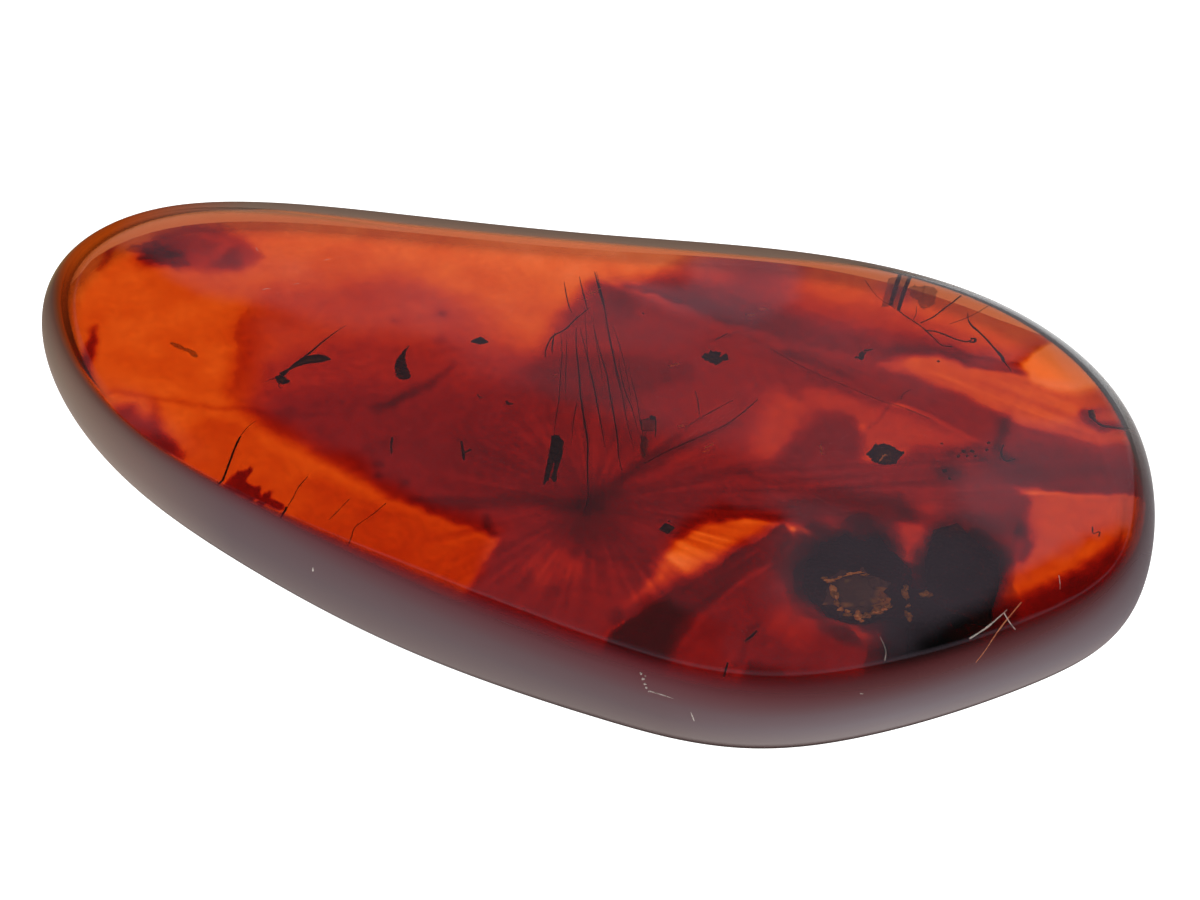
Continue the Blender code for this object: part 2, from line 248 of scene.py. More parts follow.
def amber_look():
    """Polished Baltic-type amber, a fossil resin: clear, IOR 1.54, ground flat and buffed to a soft gloss.

    Its own colour is plain absorption: blue goes first, then green, so thin parts are orange and long
    paths are deep red.
    """
    look, tree = material("polished_amber")
    inputs = {"Base Color": linear("#ffffff"), "Roughness": 0.03, "IOR": 1.54, "Transmission Weight": 1.0}
    return finished(look, tree, inputs, absorbing(tree, *AMBER_ABSORPTION))


def slab_surface(grow=0.0):
    """Points and faces of the whole slab as one closed surface.

    Rings of points run from the middle of the bottom face out to its edge, up the rounded wall, and in
    over the top face to its middle. The two middles are single points. Grow moves it all outwards.
    """
    around = len(EDGE_PLACE)
    angles = np.radians(np.linspace(-90, 90, 49))
    rings = []
    for angle in angles:
        depth = THICKNESS - GIRDLE if angle > 0 else GIRDLE
        ring = edge_ring(GIRDLE + depth * math.sin(angle), -grow)
        rings.append(np.column_stack((ring, np.full(around, GIRDLE + (depth + grow) * math.sin(angle)))))
    low = [rings[0] * (s, s, 1) for s in np.linspace(0, 1, 11)[1:-1]]
    high = [rings[-1] * (s, s, 1) for s in np.linspace(1, 0, 41)[1:-1]]
    middles = np.array(((0, 0, -grow), (0, 0, THICKNESS + grow)))
    points = np.concatenate(low + rings + high + [middles])
    count = len(low) + len(rings) + len(high)
    faces = grid(count, around, close=True)
    last = (count - 1) * around
    south, north = len(points) - 2, len(points) - 1
    for j in range(around):
        k = (j + 1) % around
        faces += [(south, k, j), (north, last + j, last + k)]
    return points, faces


def amber_slab(look):
    made = piece("amber_slab", *slab_surface(), look)
    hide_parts("amber_upper", "amber_lower")
    return made


# How matt the rounded edge is at each row of the outline: how much, from which tilt in degrees, over how
# many, and how much below the widest line. A tilt below 0 starts on the face, 20 degrees to a millimetre.
# The amount also sets how much of the wall's painted light and shade shows
EDGE_MATT = np.array((
    (0.78, 12, 20, 0.78), (0.30, 22, 26, 0.22), (0.25, 24, 18, 0.42), (0.90, 6, 8, 0.48), (0.92, 4, 8, 0.40),
    (0.92, -3, 11, 0.48), (0.92, -10, 13, 0.52), (0.94, -13, 16, 0.58), (0.84, -3, 22, 0.84),
    (0.84, 4, 19, 0.84),
    (0.84, 6, 17, 0.84), (0.84, 10, 15, 0.84), (0.86, 12, 14, 0.86), (0.84, 15, 15, 0.84),
))
FACE_LEAN = 20.0

# The wall's colours by tilt, as a share of SILHOUETTE degrees: on the near side, at that side's two ends, and
# on the far side's small end. All are painted light: deep red at the top for light coming through the face's
# edge, greys for the matt wall and its painted reflections, near black at the silhouette for painted shade,
# and on the far side's small end a painted orange glow fading to a pale painted reflection.
SILHOUETTE = 140.0
NEAR_WALL_PAINTED_LIGHT = (
    (0.05, "#561016"), (0.15, "#5e2228"), (0.26, "#623c40"), (0.42, "#5e4a4d"), (0.64, "#5e5052"),
    (0.82, "#6c605e"),
    (0.89, "#3a2a28"), (1.0, "#1c1210"),
)
SMALL_END_PAINTED_LIGHT = (
    (0.03, "#9c3610"), (0.16, "#7c3a1e"), (0.3, "#62443a"), (0.55, "#7a685c"), (0.8, "#96867a"),
    (0.9, "#6a5c54"),
    (1.0, "#2c211c"),
)
WIDE_END_PAINTED_LIGHT = (
    (0.05, "#3c1012"), (0.15, "#4a1a1c"), (0.26, "#583436"), (0.42, "#625256"), (0.64, "#6c6266"),
    (0.82, "#7a7070"),
    (0.89, "#3a2a28"), (1.0, "#1c1210"),
)
FAR_PAINTED_GLOW = ((0.0, "#c24c10"), (0.18, "#b84c18"), (0.3, "#96643c"), (0.42, "#b8a67c"))
SKIN_GAP = 0.012
PAINTED_SHEEN_ALPHA = 0.155


def skin_values(points):
    """Values for the skin at each of its points: rim, the painted sheen, drop and far, all 0 to 1.

    The rounded edge was only ground, not polished, and more so on the far side; its matt skin also carries
    the wall's painted light and shade. Its tilt is that of the two quarter ellipses: across over inset
    squared against up over height squared. Drop is how far down the rounding a place lies, far is how much it
    faces away from the near long side.
    """
    x, y, z = points.T
    which = np.arange(len(points)) % len(EDGE_PLACE)
    above = z > GIRDLE
    height = np.where(above, THICKNESS - GIRDLE, GIRDLE)
    inset = np.where(above, EDGE_PLACE[which, 2], EDGE_PLACE[which, 3])
    rise = np.clip(np.abs(z - GIRDLE) / height, 0, 1)
    lean = np.degrees(np.arctan2(np.sqrt(1 - rise**2) / inset, rise / height))
    tilt = np.where(above, lean, 180 - lean)
    inwards = np.hypot(*(edge_ring(THICKNESS)[which] - points[:, :2]).T)
    tilt = np.where(rise > 0.9999, np.where(above, -FACE_LEAN * inwards, tilt), tilt)
    amount, start, span, lower = closed_curve(EDGE_MATT, len(EDGE_PLACE))[0][which].T
    turn = math.radians(VIEW_TURN)
    away = EDGE_OUTWARD[which] @ (-math.sin(turn), math.cos(turn))
    far = ease((away + 0.1) / 0.6)
    amount = amount + (lower - amount) * ease((GIRDLE + 0.3 - z) / 0.5)
    rim = amount * ease((tilt - start) / span) * ease((z - 0.05) / 0.5)
    # The painted reflection sheen lies only on the top face
    painted_sheen = np.where(z > THICKNESS - 0.3, painted_sheen_amount(x, y), 0)
    return {"rim": rim, "painted_sheen": painted_sheen, "drop": np.clip(tilt / SILHOUETTE, 0, 1), "far": far}


def skin_look():
    """The skin of a tumbled stone: ground matt round the rim, and a faint milky painted reflection sheen over
    the polished face.

    The matt skin's colours are painted light and shade, set by tilt and side: deep red where the wall leaves
    the face for the light coming through, grey lower down for the matt wall and its painted reflections, near
    black at the silhouette for painted shade. The thin small end and the lower far wall have a painted orange
    glow. Fine mottling breaks up both.
    """
    look, tree = material("ground_skin_with_painted_light")
    rim, painted_sheen, drop, far = (
        node(tree, "ShaderNodeAttribute", attribute_name=name).outputs["Fac"]
        for name in ("rim", "painted_sheen", "drop", "far")
    )
    place = node(tree, "ShaderNodeTexCoord").outputs["Object"]
    along = node(tree, "ShaderNodeSeparateXYZ", {0: place}).outputs["X"]

    def between(start, end):
        """0 up to start and 1 from end, in millimetres along the slab."""
        return spread(tree, along, start * MM, end * MM)

    # Painted light and shade of the near wall by tilt, with its own ramps towards the wide and small ends
    wall = mix(tree, between(11, 20), ramp(tree, drop, NEAR_WALL_PAINTED_LIGHT), ramp(tree, drop, WIDE_END_PAINTED_LIGHT))
    near = mix(tree, between(-23, -11), ramp(tree, drop, SMALL_END_PAINTED_LIGHT), wall)
    # The far wall: a painted orange glow at the small end fading to a pale painted reflection, and a
    # grey-brown painted reflection along the rest
    upper = mix(tree, between(-25, -20), ramp(tree, drop, FAR_PAINTED_GLOW), "#967c6c")
    # Below the widest line on the far side: a painted orange glow for the table light coming through
    lower = mix(tree, between(-4, 4), "#f4b074", "#d88048")
    edge = mix(tree, far, near, mix(tree, spread(tree, drop, 0.6, 0.68), upper, lower))
    mottle = noise(tree, place, scale=260.0, detail=4.0)
    uneven = node(tree, "ShaderNodeMapRange", {"Value": mottle, "To Min": 0.72, "To Max": 1.22}).outputs[0]
    # Over the face the skin is the lilac-grey painted reflection sheen, thinned by the sheen alpha; on the
    # rim it takes the painted wall light
    painted_sheen_alpha = maths(tree, "MULTIPLY", painted_sheen, PAINTED_SHEEN_ALPHA)
    return finished(look, tree, {
        "Base Color": mix(tree, maths(tree, "MULTIPLY", rim, 6.0, clamp=True), "#c2acbe", edge),
        "Roughness": 0.6,
        "Specular IOR Level": 0.0,
        "Alpha": maths(tree, "MULTIPLY_ADD", painted_sheen_alpha, uneven, rim, clamp=True),
    })


def skin(look):
    points, faces = slab_surface(SKIN_GAP)
    made = piece("slab_skin", points, faces, look, **skin_values(points))
    return made


# --- flows in the resin --------------------------------------------------------------------------------
# The resin ran down the bark in several flows, and each flow carried its own dirt. One level sheet deep in
# the slab holds how dense each place is. The milky haze over it is a painted reflection sheen, a value of the
# skin.

SHEET_COLUMNS, SHEET_ROWS = 440, 205
# From the insects' level to the deep sheet, the main view moves things back by this much, in millimetres
BACK_X, BACK_Y = 0.37, 0.84
SHEET_THICKNESS = 0.03
# The sheet lets through these shares of red, green and blue, each to the power of twice the density
FLOW_PASSES = (0.72, 0.38, 0.05)
# A surface that bends and reflects nothing
NO_SURFACE = {"Roughness": 0.0, "IOR": 1.0, "Transmission Weight": 1.0}


def nearest_on(x, y, rows):
    """For each place: distance to the line through the rows, its side, and the rows' values at that spot."""
    rows = np.asarray(rows, float)
    best = np.full(x.shape, np.inf)
    side = np.zeros(x.shape)
    values = np.zeros((*x.shape, rows.shape[1] - 2))
    for start, end in zip(rows[:-1], rows[1:]):
        dx, dy = end[:2] - start[:2]
        t = np.clip(((x - start[0]) * dx + (y - start[1]) * dy) / (dx * dx + dy * dy), 0, 1)
        gap = np.hypot(x - start[0] - t * dx, y - start[1] - t * dy)
        near = gap < best
        best[near] = gap[near]
        side[near] = np.sign((dx * (y - start[1]) - dy * (x - start[0]))[near])
        values[near] = start[2:] + t[near][:, None] * (end[2:] - start[2:])
    return best, side, values


def inside(x, y, rows):
    """True where a place lies inside the closed outline of the rows, by counting crossings of a level ray."""
    rows = np.asarray(rows, float)
    crossed = np.zeros(x.shape, bool)
    for (ax, ay), (bx, by) in zip(rows[:, :2], np.roll(rows[:, :2], -1, axis=0)):
        if ay != by:
            crossed ^= ((ay > y) != (by > y)) & (x < ax + (bx - ax) * (y - ay) / (by - ay))
    return crossed


def patch(x, y, rows):
    """A filled outline, 0 to 1. Each row is x, y and how many millimetres its edge takes to fade in."""
    ring = [*rows, rows[0]]
    gap, _, values = nearest_on(x, y, ring)
    return ease(0.5 + np.where(inside(x, y, rows), gap, -gap) / values[:, 0])


def stroke(x, y, rows):
    """A line with soft flanks. Each row is x, y, width to the left, width to the right, and strength."""
    gap, side, values = nearest_on(x, y, rows)
    width = np.where(side > 0, values[:, 0], values[:, 1])
    return values[:, 2] * np.exp(-((gap / width) ** 2))


def spot(x, y, cx, cy, rx, ry, turn=0):
    """A soft round spot, 1 in its middle: the bell curve of the distance in its own turned radii."""
    c, s = math.cos(math.radians(turn)), math.sin(math.radians(turn))
    u, v = ((x - cx) * c + (y - cy) * s) / rx, ((y - cy) * c - (x - cx) * s) / ry
    return np.exp(-(u * u + v * v))


def resin_murk(x, y):
    """How dense the resin is at each place of the deep sheet: 0 is clearest, and more is darker."""
    wx = x + 0.22 * drift(x, y, 1.7, 11) + 0.1 * drift(x, y, 0.5, 12)
    wy = y + 0.22 * drift(x, y, 1.7, 13) + 0.1 * drift(x, y, 0.5, 14)
    d = np.full(x.shape, 0.9)

    def lay(value, *rows):
        nonlocal d
        mask = patch(wx, wy, rows)
        d = d + (value - d) * mask

    # the milky far side
    lay(0.6, (-19, 4.5, 3), (-14, 6.5, 3), (-6, 6.5, 3), (-3, 9, 2), (1, 12, 2), (3, 16, 2), (-20, 12, 2))
    lay(0.25, (-12, 8.2, 2.5), (-5, 9.4, 2), (-0.6, 11.4, 1.5), (2, 13.6, 2), (-6, 13.6, 1.5))
    # the long middle of the left half, darker towards the slab's middle
    lay(2.0, (-17.4, 3, 2.4), (-15, 4.6, 2.8), (-12.5, 6.2, 2), (-9, 6.4, 2.5), (-4.5, 3.6, 2.5), (-1, 8, 3),
        (4, 6, 4), (4, -10, 3), (0.4, -12.5, 1), (0.2, -8.6, 0.7), (-3.5, -8.3, 0.8), (-7, -7.6, 1.4),
        (-10, -6.7, 1.5), (-14.3, -5.4, 1.2), (-15.9, -4, 1.2), (-16.4, -2.5, 1.4), (-17, -1, 1.6),
        (-17.3, 1, 2.0))
    lay(2.9, (-14.6, -2, 2), (-13, 1.2, 3), (-7.5, 3.2, 2.5), (-4.6, 3.4, 1.6), (-1, 7, 3), (4, 6, 4),
        (4, -10, 3), (0.4, -12.5, 1), (0.2, -8.4, 0.6), (-3.5, -8.1, 0.6), (-7, -7.3, 1.2), (-10, -6.4, 1.4),
        (-14, -5, 1.2))
    lay(4.2, (-13.4, -3.6, 1.6), (-10.8, -1.8, 2.4), (-6, 0.2, 3), (-3, 3, 2), (2, 4, 3), (4, -8, 2),
        (-1, -8, 0.5), (-3.5, -7.9, 0.5), (-7, -7, 1), (-9.5, -6, 1.6), (-12.6, -5, 1.4))
    d += 0.9 * spot(x, y, -2, -3.5, 3.6, 2.6)
    # the clear lower band, and the redder stretch after it
    lay(1.35, (-15.5, -6.3, 0.8), (-13, -6.3, 0.8), (-9.6, -7.8, 1.4), (-6.5, -8.6, 1.4), (-6.5, -12, 1.5),
        (-14, -11, 1), (-17, -9.6, 1))
    lay(1.9, (-9, -8, 2), (-5.5, -8.3, 0.9), (-1.8, -8.2, 0.6), (-0.2, -8.8, 0.5), (0.1, -12.8, 0.5),
        (-4, -13, 1.5), (-9, -12, 2))
    lay(4.2, (0.1, -8.3, 0.6), (4, -7.6, 1), (7, -7.4, 1), (6.8, -14.5, 1), (0, -13.5, 0.8))
    lay(2.9, (2, -8, 0.6), (3.6, -7.9, 0.5), (4.2, -9, 0.8), (2.7, -10.8, 0.8), (1.9, -9.6, 0.6))
    lay(4.1, (4.9, -8.4, 0.6), (6.6, -8, 0.6), (6.9, -12.6, 0.8), (5.6, -12.4, 0.8))
    # the middle: brown-red, with a purple shoulder
    lay(3.6, (-3.9, 10, 1), (-2.5, 9.9, 0.8), (2, 9.5, 0.8), (7, 8.5, 0.6), (12, 7.2, 0.5), (9.5, 2, 2),
        (8, -1, 2), (4, -3, 3), (-2, -2, 3), (-2.6, 2, 3), (-3.9, 6, 1.6))
    lay(4.9, (-3.9, 2.4, 1), (-3.6, 3.8, 1), (-1.8, 4.8, 1.2), (0, 5.6, 1.4), (2.4, 6.4, 1.4), (3.6, 5.4, 1),
        (2.6, 4.2, 1.4), (0.6, 2, 1.6), (-2, 1.4, 1.6))
    d += 1.0 * spot(x, y, 1.5, 0.5, 2.6, 2.2) + 1.6 * spot(x, y, -2.0, 8.9, 0.9, 1.4, 20)
    # the far right: clear above, two purple-brown tongues, a clear lens between them
    lay(1.9, (-1.5, 10.6, 1), (-0.2, 13.5, 1.4), (3, 15.6, 1.5), (12, 17, 2), (20, 14, 2), (24, 8, 2),
        (18, 8.4, 1), (10, 9, 1))
    lay(1.15, (5, 13.4, 1.2), (7, 13.2, 1), (9.2, 13.6, 0.8), (13, 13.4, 1), (16, 12.8, 0.8), (17, 15, 1),
        (12, 17, 1), (5.5, 16, 1))
    lay(0.0, (16.5, 12.2, 0.3), (16.8, 13.4, 0.35), (17.1, 14.3, 0.4), (18, 14.8, 0.8), (19.8, 13.6, 0.9),
        (20.4, 12.2, 0.9), (19.6, 11.2, 1.2), (17.6, 10.9, 1))
    lay(1.15, (11.6, 10.1, 0.5), (12.2, 10.8, 0.3), (13.5, 11.1, 0.25), (16.6, 11.3, 0.3), (18, 11.2, 0.8),
        (20.2, 11, 1), (20.4, 9.6, 0.8), (19.6, 8.5, 0.8), (18, 8.6, 0.5), (15.4, 9, 0.5), (12.6, 9.5, 0.5))
    d += stroke(wx, wy, [(-2.6, 10.3, 0.9, 0.2, 0.6), (-1, 10.2, 1.3, 0.22, 2.6), (1, 10.1, 1.7, 0.25, 4.2),
                         (4, 9.9, 1.8, 0.3, 4.4), (7, 9.6, 2, 0.5, 3.0), (9.5, 10.2, 1.7, 0.9, 2.4),
                         (12, 11.3, 0.9, 0.3, 2.6), (14.5, 11.7, 0.6, 0.25, 2.2),
                         (17, 11.6, 0.2, 0.15, 0.8)])
    d += 1.2 * spot(x, y, 3, 13.4, 1.6, 1.2) + 1.2 * spot(x, y, 9.6, 14.9, 0.8, 1.1)
    lay(3.9, (6.5, 9.4, 0.8), (10, 9.5, 0.6), (12.6, 9.3, 0.5), (15.4, 8.8, 0.5), (18, 8.3, 0.5),
        (20.5, 8.3, 0.8),
        (24.5, 8.8, 1), (24.5, 6, 0.6), (18.4, 6.2, 0.6), (14, 7.05, 0.25), (10, 7.65, 0.25), (6, 8.75, 0.3))
    d += stroke(wx, wy, [(-2.2, 10.3, 0.3, 0.25, 0.8), (-0.5, 10.1, 0.3, 0.25, 1.6),
        (1.7, 9.7, 0.3, 0.25, 1.8),
                         (4.1, 9.35, 0.35, 0.25, 2.2), (6.3, 8.85, 0.35, 0.25, 2.2),
                         (9.7, 8.35, 0.3, 0.2, 1.0)])
    # below the long seam: the brown-red field, and its brightest strip
    lay(2.3, (9.4, 7.4, 0.3), (14, 6.9, 0.25), (17, 6.4, 0.4), (17.6, 5.4, 0.8), (14.6, 4.2, 0.8),
        (11.8, 3.2, 0.8),
        (11.6, 5.4, 0.4), (10.2, 5.8, 0.5), (8.8, 5.4, 1), (8, 6.6, 1))
    lay(2.1, (7, 6.4, 1.4), (9, 5.6, 1.2), (9.4, 3, 1.8), (9, 1, 1.8), (7.4, 1.4, 1.8), (6.8, 4, 1.8))
    lay(4.6, (9.8, 5.1, 0.9), (10.8, 5.6, 0.7), (11.6, 4.8, 0.9), (12.6, 3, 1.2), (12.2, 1.6, 1.2),
        (9.8, 0.6, 1.2),
        (8.9, 1.4, 1.0), (9.3, 3, 0.9))
    # the purple right, sharp along its lower side, with grain that runs up to the right
    lay(5.4, (16.8, 6.2, 0.8), (19, 7.2, 1.2), (22, 7.6, 1.4), (24.6, 7.2, 1.2), (24.5, 5.5, 0.3),
        (22.5, 4.95, 0.25),
        (20.4, 4.5, 0.4), (18.6, 3.6, 0.8), (17, 2, 1), (14, 2, 1.5), (14.5, 4.6, 1))
    d += 1.3 * spot(x, y, 19, 5.0, 1.6, 0.7, 15)
    # the combed dark field from the knot to the right
    lay(4.7, (3, -3.6, 1), (5.5, -0.6, 1.2), (8.4, 0.8, 1), (11, 2.6, 0.8), (14, 3.8, 0.6), (16.8, 5.4, 0.8),
        (20.5, 3.6, 0.8), (21, 1.6, 0.8), (21.2, -1, 0.6), (17, -2, 1), (11.4, -2.3, 0.8), (9.5, -2.8, 0.5),
        (7.6, -3.8, 0.6), (6.8, -5.5, 0.8), (6.8, -8, 0.8), (3, -8, 0.8))
    lay(6.3, (10.2, -1.2, 0.8), (12.4, 0.9, 0.8), (15, 1.4, 0.6), (16.2, 0.4, 0.5), (15.4, -0.2, 0.4),
        (15.4, -1.4, 0.4),
        (16.4, -2.8, 0.5), (12.6, -2.6, 0.6))
    # the right rim: hazy red, then clear orange, then brown where the wall begins
    lay(1.6, (20.3, 4.3, 0.4), (22.5, 4.85, 0.25), (24.5, 5.4, 0.3), (25.2, 3, 1), (24, -2, 1),
        (22.2, -3.8, 0.5),
        (21.3, -3, 0.3), (21.4, -0.4, 0.3), (21.6, 1.2, 0.6), (20.6, 2.4, 0.8))
    lay(1.3, (24.3, 4, 0.9), (25.4, 4, 0.6), (25, 0.5, 0.5), (23.6, -1.8, 0.4), (22.3, -3.6, 0.4),
        (21.6, -2.4, 0.7),
        (22.8, -0.2, 0.7), (23.6, 2, 0.6))
    lay(6.2, (25.4, 3.4, 1.4), (27, 2, 1), (25, -5, 1), (21, -9, 1), (19.6, -7.6, 0.8), (20.9, -4.2, 1.0),
        (22.1, -3.2, 1.2), (22.9, -1.9, 1.3), (24.0, -0.1, 1.4), (24.8, 1.6, 1.4))
    # the bright wedge and the dark one beside it
    lay(0.8, (10.95, -2.5, 0.2), (9.4, -2.9, 0.7), (8, -3.8, 0.8), (7.3, -5.4, 0.9), (7.1, -7.4, 0.9),
        (8.4, -7.9, 0.25), (9.5, -5.5, 0.2), (10.3, -4, 0.2))
    lay(2.0, (7.3, -7.2, 0.8), (8.5, -7.6, 0.25), (8, -8.8, 0.2), (7.5, -10.2, 0.2), (7, -11.6, 0.2),
        (6.7, -10, 0.7))
    lay(6.4, (11.1, -2.5, 0.15), (11.9, -3.4, 0.5), (11.2, -5.6, 0.5), (10.3, -7.6, 0.6), (9.9, -10, 0.6),
        (10.1, -12, 0.5), (9.9, -14, 0.6), (6.6, -14, 0.8), (7, -11.6, 0.15), (7.5, -10.2, 0.15),
        (8, -8.8, 0.15),
        (8.75, -7.2, 0.15), (9.5, -5.5, 0.15), (10.3, -4, 0.15))
    d += 3.5 * patch(wx, wy, [(7.1, -11.4, 0.4), (8.2, -9, 0.5), (9.2, -9.6, 1), (9.8, -12, 1),
        (9.6, -14.2, 0.6),
                              (6.8, -13.8, 0.6)])
    # the red corner after it
    lay(4.7, (11.9, -2.8, 0.6), (12.6, -3, 0.5), (12.9, -5, 0.6), (14.6, -7, 0.8), (17, -8, 0.8),
        (19.4, -7, 0.8),
        (20, -9, 0.8), (17, -12, 1), (12, -14, 1), (9.9, -13.5, 0.5), (9.9, -10, 0.6), (10.3, -7.6, 0.5),
        (11.2, -5.5, 0.4))
    lay(3.1, (13.2, -6.8, 1.1), (14, -6.6, 1.1), (15, -8, 1.2), (14.6, -9.4, 1.4), (13, -9.4, 1.2),
        (12.8, -8, 1.1))
    lay(4.0, (10.3, -10.6, 0.8), (12.4, -10.2, 0.8), (12.8, -11.4, 0.3), (12.9, -13.6, 0.4),
        (10.4, -13.6, 0.6))
    lay(7.2, (12.9, -11, 0.3), (14.2, -10.8, 0.8), (17, -10, 1), (19.6, -8.6, 1), (20, -12, 1), (13, -14, 1))
    # haloes round the bark, with a red window between its lobes
    lay(7.5, (12.4, -3.2, 1.2), (13.5, -1.9, 1.2), (16.2, -2.7, 0.6), (17.2, -2.6, 0.4), (17.1, 0.6, 0.5),
        (18, 1.7, 1.0), (19.8, 1.5, 1.1), (21.0, -0.5, 1.0), (21.4, -3.6, 0.9), (20.6, -7.4, 1.2),
        (18.6, -7.6, 1.4),
        (16.4, -7.3, 1.0), (14.0, -6.6, 1.2), (12.4, -4.9, 1.1))
    lay(2.6, (15.6, -0.2, 0.4), (16.6, 0.3, 0.4), (17.1, -0.8, 0.4), (17.4, -1.7, 0.3), (17.2, -2.7, 0.4),
        (16.5, -2.3, 0.4), (16, -1.2, 0.4))
    d -= 2.8 * spot(x, y, 13.2, -1.6, 1.0, 0.45, -20) + 1.5 * spot(x, y, 16.2, 1.4, 0.7, 0.8)
    # smudges of dust
    d += 4.5 * spot(x, y, 16.3, 3.8, 0.55, 0.5) + 2.6 * spot(x, y, 17.4, 7.7, 0.35, 0.9, 15)
    d += 2.5 * spot(x, y, 20.6, 1.6, 0.5, 0.9, 30) + 2 * spot(x, y, 21.3, 0.3, 0.25, 0.9) + 3 * spot(x, y,
        15.6, 0.6, 0.6, 0.4)
    for cx, cy in ((16.5, 5.5), (17.3, 5.3), (18.2, 5.9), (18.6, 5.8), (15.9, 5.1)):
        d += 2.5 * spot(x, y, cx, cy, 0.18, 0.14, 30)
    # the cloud near the small end, and the strands beside it
    lay(2.5, (-24, 4.6, 1), (-23.4, 6, 1), (-21.6, 6.4, 1), (-20, 5.9, 1), (-18.7, 5.2, 0.8),
        (-19, 3.8, 0.8),
        (-20.4, 3.3, 0.8), (-22, 2.9, 0.8), (-23.4, 2.6, 0.8))
    d += 2.6 * spot(x, y, -22.9, 3.6, 1.0, 0.6, 10) + 2.0 * spot(x, y, -23.4, 3.0, 0.5, 0.6) + 0.7 * spot(x,
        y, -19.9, 4.5, 0.6, 0.9)
    d += stroke(wx, wy, [(-25.2, 4.6, 0.25, 0.25, 1.6), (-25.4, 3, 0.2, 0.2, 1.8),
        (-25.2, 1.4, 0.15, 0.15, 0.8)])
    d += stroke(wx, wy, [(-23.25, -2.5, 0.12, 0.12, 1), (-22.9, -3.8, 0.22, 0.2, 3.4),
        (-22.5, -5.2, 0.3, 0.3, 3.4), (-22, -6.4, 0.4, 0.4, 3)])
    lay(3.6, (-20.4, -7.6, 0.8), (-19, -7, 0.8), (-17.6, -7.7, 0.7), (-15.6, -8.9, 0.6), (-15, -10.5, 0.8),
        (-20, -9, 0.8))
    d += stroke(wx, wy, [(-18.4, -6.3, 0.3, 0.3, 0.6), (-17.6, -7.4, 0.35, 0.3, 1.6),
        (-16.4, -8.8, 0.4, 0.4, 1.2)])
    # the knot in the middle, its beam and its roots
    d += 2.6 * spot(x, y, 2.7, -4.7, 1.5, 1.7) + 1.2 * spot(x, y, 3.0, -6.6, 1.6, 0.8)
    d += stroke(wx, wy, [(2.6, -4.6, 0.7, 0.5, 2), (3.3, -2, 0.4, 0.5, 2.8), (3.9, -0.4, 0.25, 0.55, 2.6),
                         (5.0, 1.4, 0.2, 0.45, 2.0), (6.2, 3.2, 0.15, 0.3, 0.8)])
    d += stroke(wx, wy, [(2.4, -5, 0.5, 0.5, 2), (0, -5.2, 0.6, 0.5, 1.6), (-2.4, -6.7, 0.5, 0.4, 1.8),
        (-4.8, -7.5, 0.3, 0.25, 1.6)])
    d += stroke(wx, wy, [(-1.25, -7.2, 0.15, 0.15, 1.5), (-0.9, -7.8, 0.2, 0.2, 3),
        (-0.4, -8.2, 0.2, 0.2, 2.5)])
    d += stroke(wx, wy, [(-7.15, 1.6, 0.2, 0.2, 0.8), (-7.5, 0, 0.25, 0.25, 1.6),
        (-8.3, -1.6, 0.35, 0.3, 1.4), (-8.9, -2.8, 0.3, 0.3, 0.5)])
    # finer marks, traced level with the insects and so moved back to where the deep sheet shows them
    near_x, near_y = wx + BACK_X, wy - BACK_Y

    def mark(*rows):
        nonlocal d
        d = d + stroke(near_x, near_y, rows)

    mark((3.4, 7.5, 0.1, 0.1, 1), (4.3, 8.3, 0.12, 0.12, 1.2), (5.4, 8, 0.12, 0.12, 1.2),
        (7.2, 7.65, 0.12, 0.12, 1),
         (9.3, 7.1, 0.1, 0.1, 0.6))
    mark((10.8, 9, 0.3, 0.2, 1), (11.6, 10.2, 0.35, 0.25, 1.8), (13.9, 10.8, 0.25, 0.2, 1.6),
        (15.2, 10.5, 0.14, 0.12, 2),
         (17.1, 10.7, 0.1, 0.1, 1.4))
    mark((13.4, 11.3, 0.12, 0.12, 1.4), (14.5, 11.1, 0.14, 0.14, 1.6), (16, 11.2, 0.12, 0.12, 1.4),
        (17, 11.3, 0.1, 0.1, 0.8))
    mark((6, 7.8, 0.1, 0.6, 0.5), (8, 7.2, 0.1, 0.6, 0.9), (10, 6.75, 0.1, 0.6, 0.9),
        (13, 6.35, 0.1, 0.5, 0.8), (17.5, 5.6, 0.1, 0.4, 0.5))
    mark((-20, -7.3, 0.2, 0.2, 0.5), (-15.5, -6.3, 0.2, 0.2, 0.6), (-11, -4.9, 0.2, 0.2, 0.6),
        (-9.5, -4.2, 0.2, 0.2, 0.3))
    mark((-17, 0.3, 0.7, 0.08, 0.5), (-16.6, -1.4, 0.7, 0.08, 0.6), (-15.6, -4, 0.7, 0.08, 0.4))
    mark((-6.6, 1, 0.2, 0.2, 0.6), (-7.2, -1.3, 0.2, 0.2, 0.8), (-8, -2.7, 0.25, 0.2, 2.4),
        (-8.6, -3.4, 0.2, 0.2, 1.2))
    mark((11.4, -3.2, 0.08, 0.4, 1), (10.5, -5, 0.08, 0.4, 2.6), (8.8, -8.6, 0.08, 0.5, 3),
        (7.4, -12, 0.08, 0.5, 3))
    mark((2.9, -5.9, 0.12, 0.12, 0.6), (3.3, -8, 0.12, 0.12, 0.9), (4.6, -8.6, 0.12, 0.12, 0.9),
        (6.8, -8, 0.12, 0.12, 0.5))
    mark((4.6, 0.5, 0.12, 0.12, 0.8), (4, -1.2, 0.12, 0.12, 1), (3.6, -2.4, 0.12, 0.12, 1),
        (3.2, -3.8, 0.12, 0.12, 0.8))
    mark((13, -10, 0.05, 0.3, 1.4), (12.9, -12, 0.05, 0.3, 1.4))
    mark((8.3, -0.7, 0.2, 0.2, 1), (9.5, -0.9, 0.2, 0.2, 0.8))
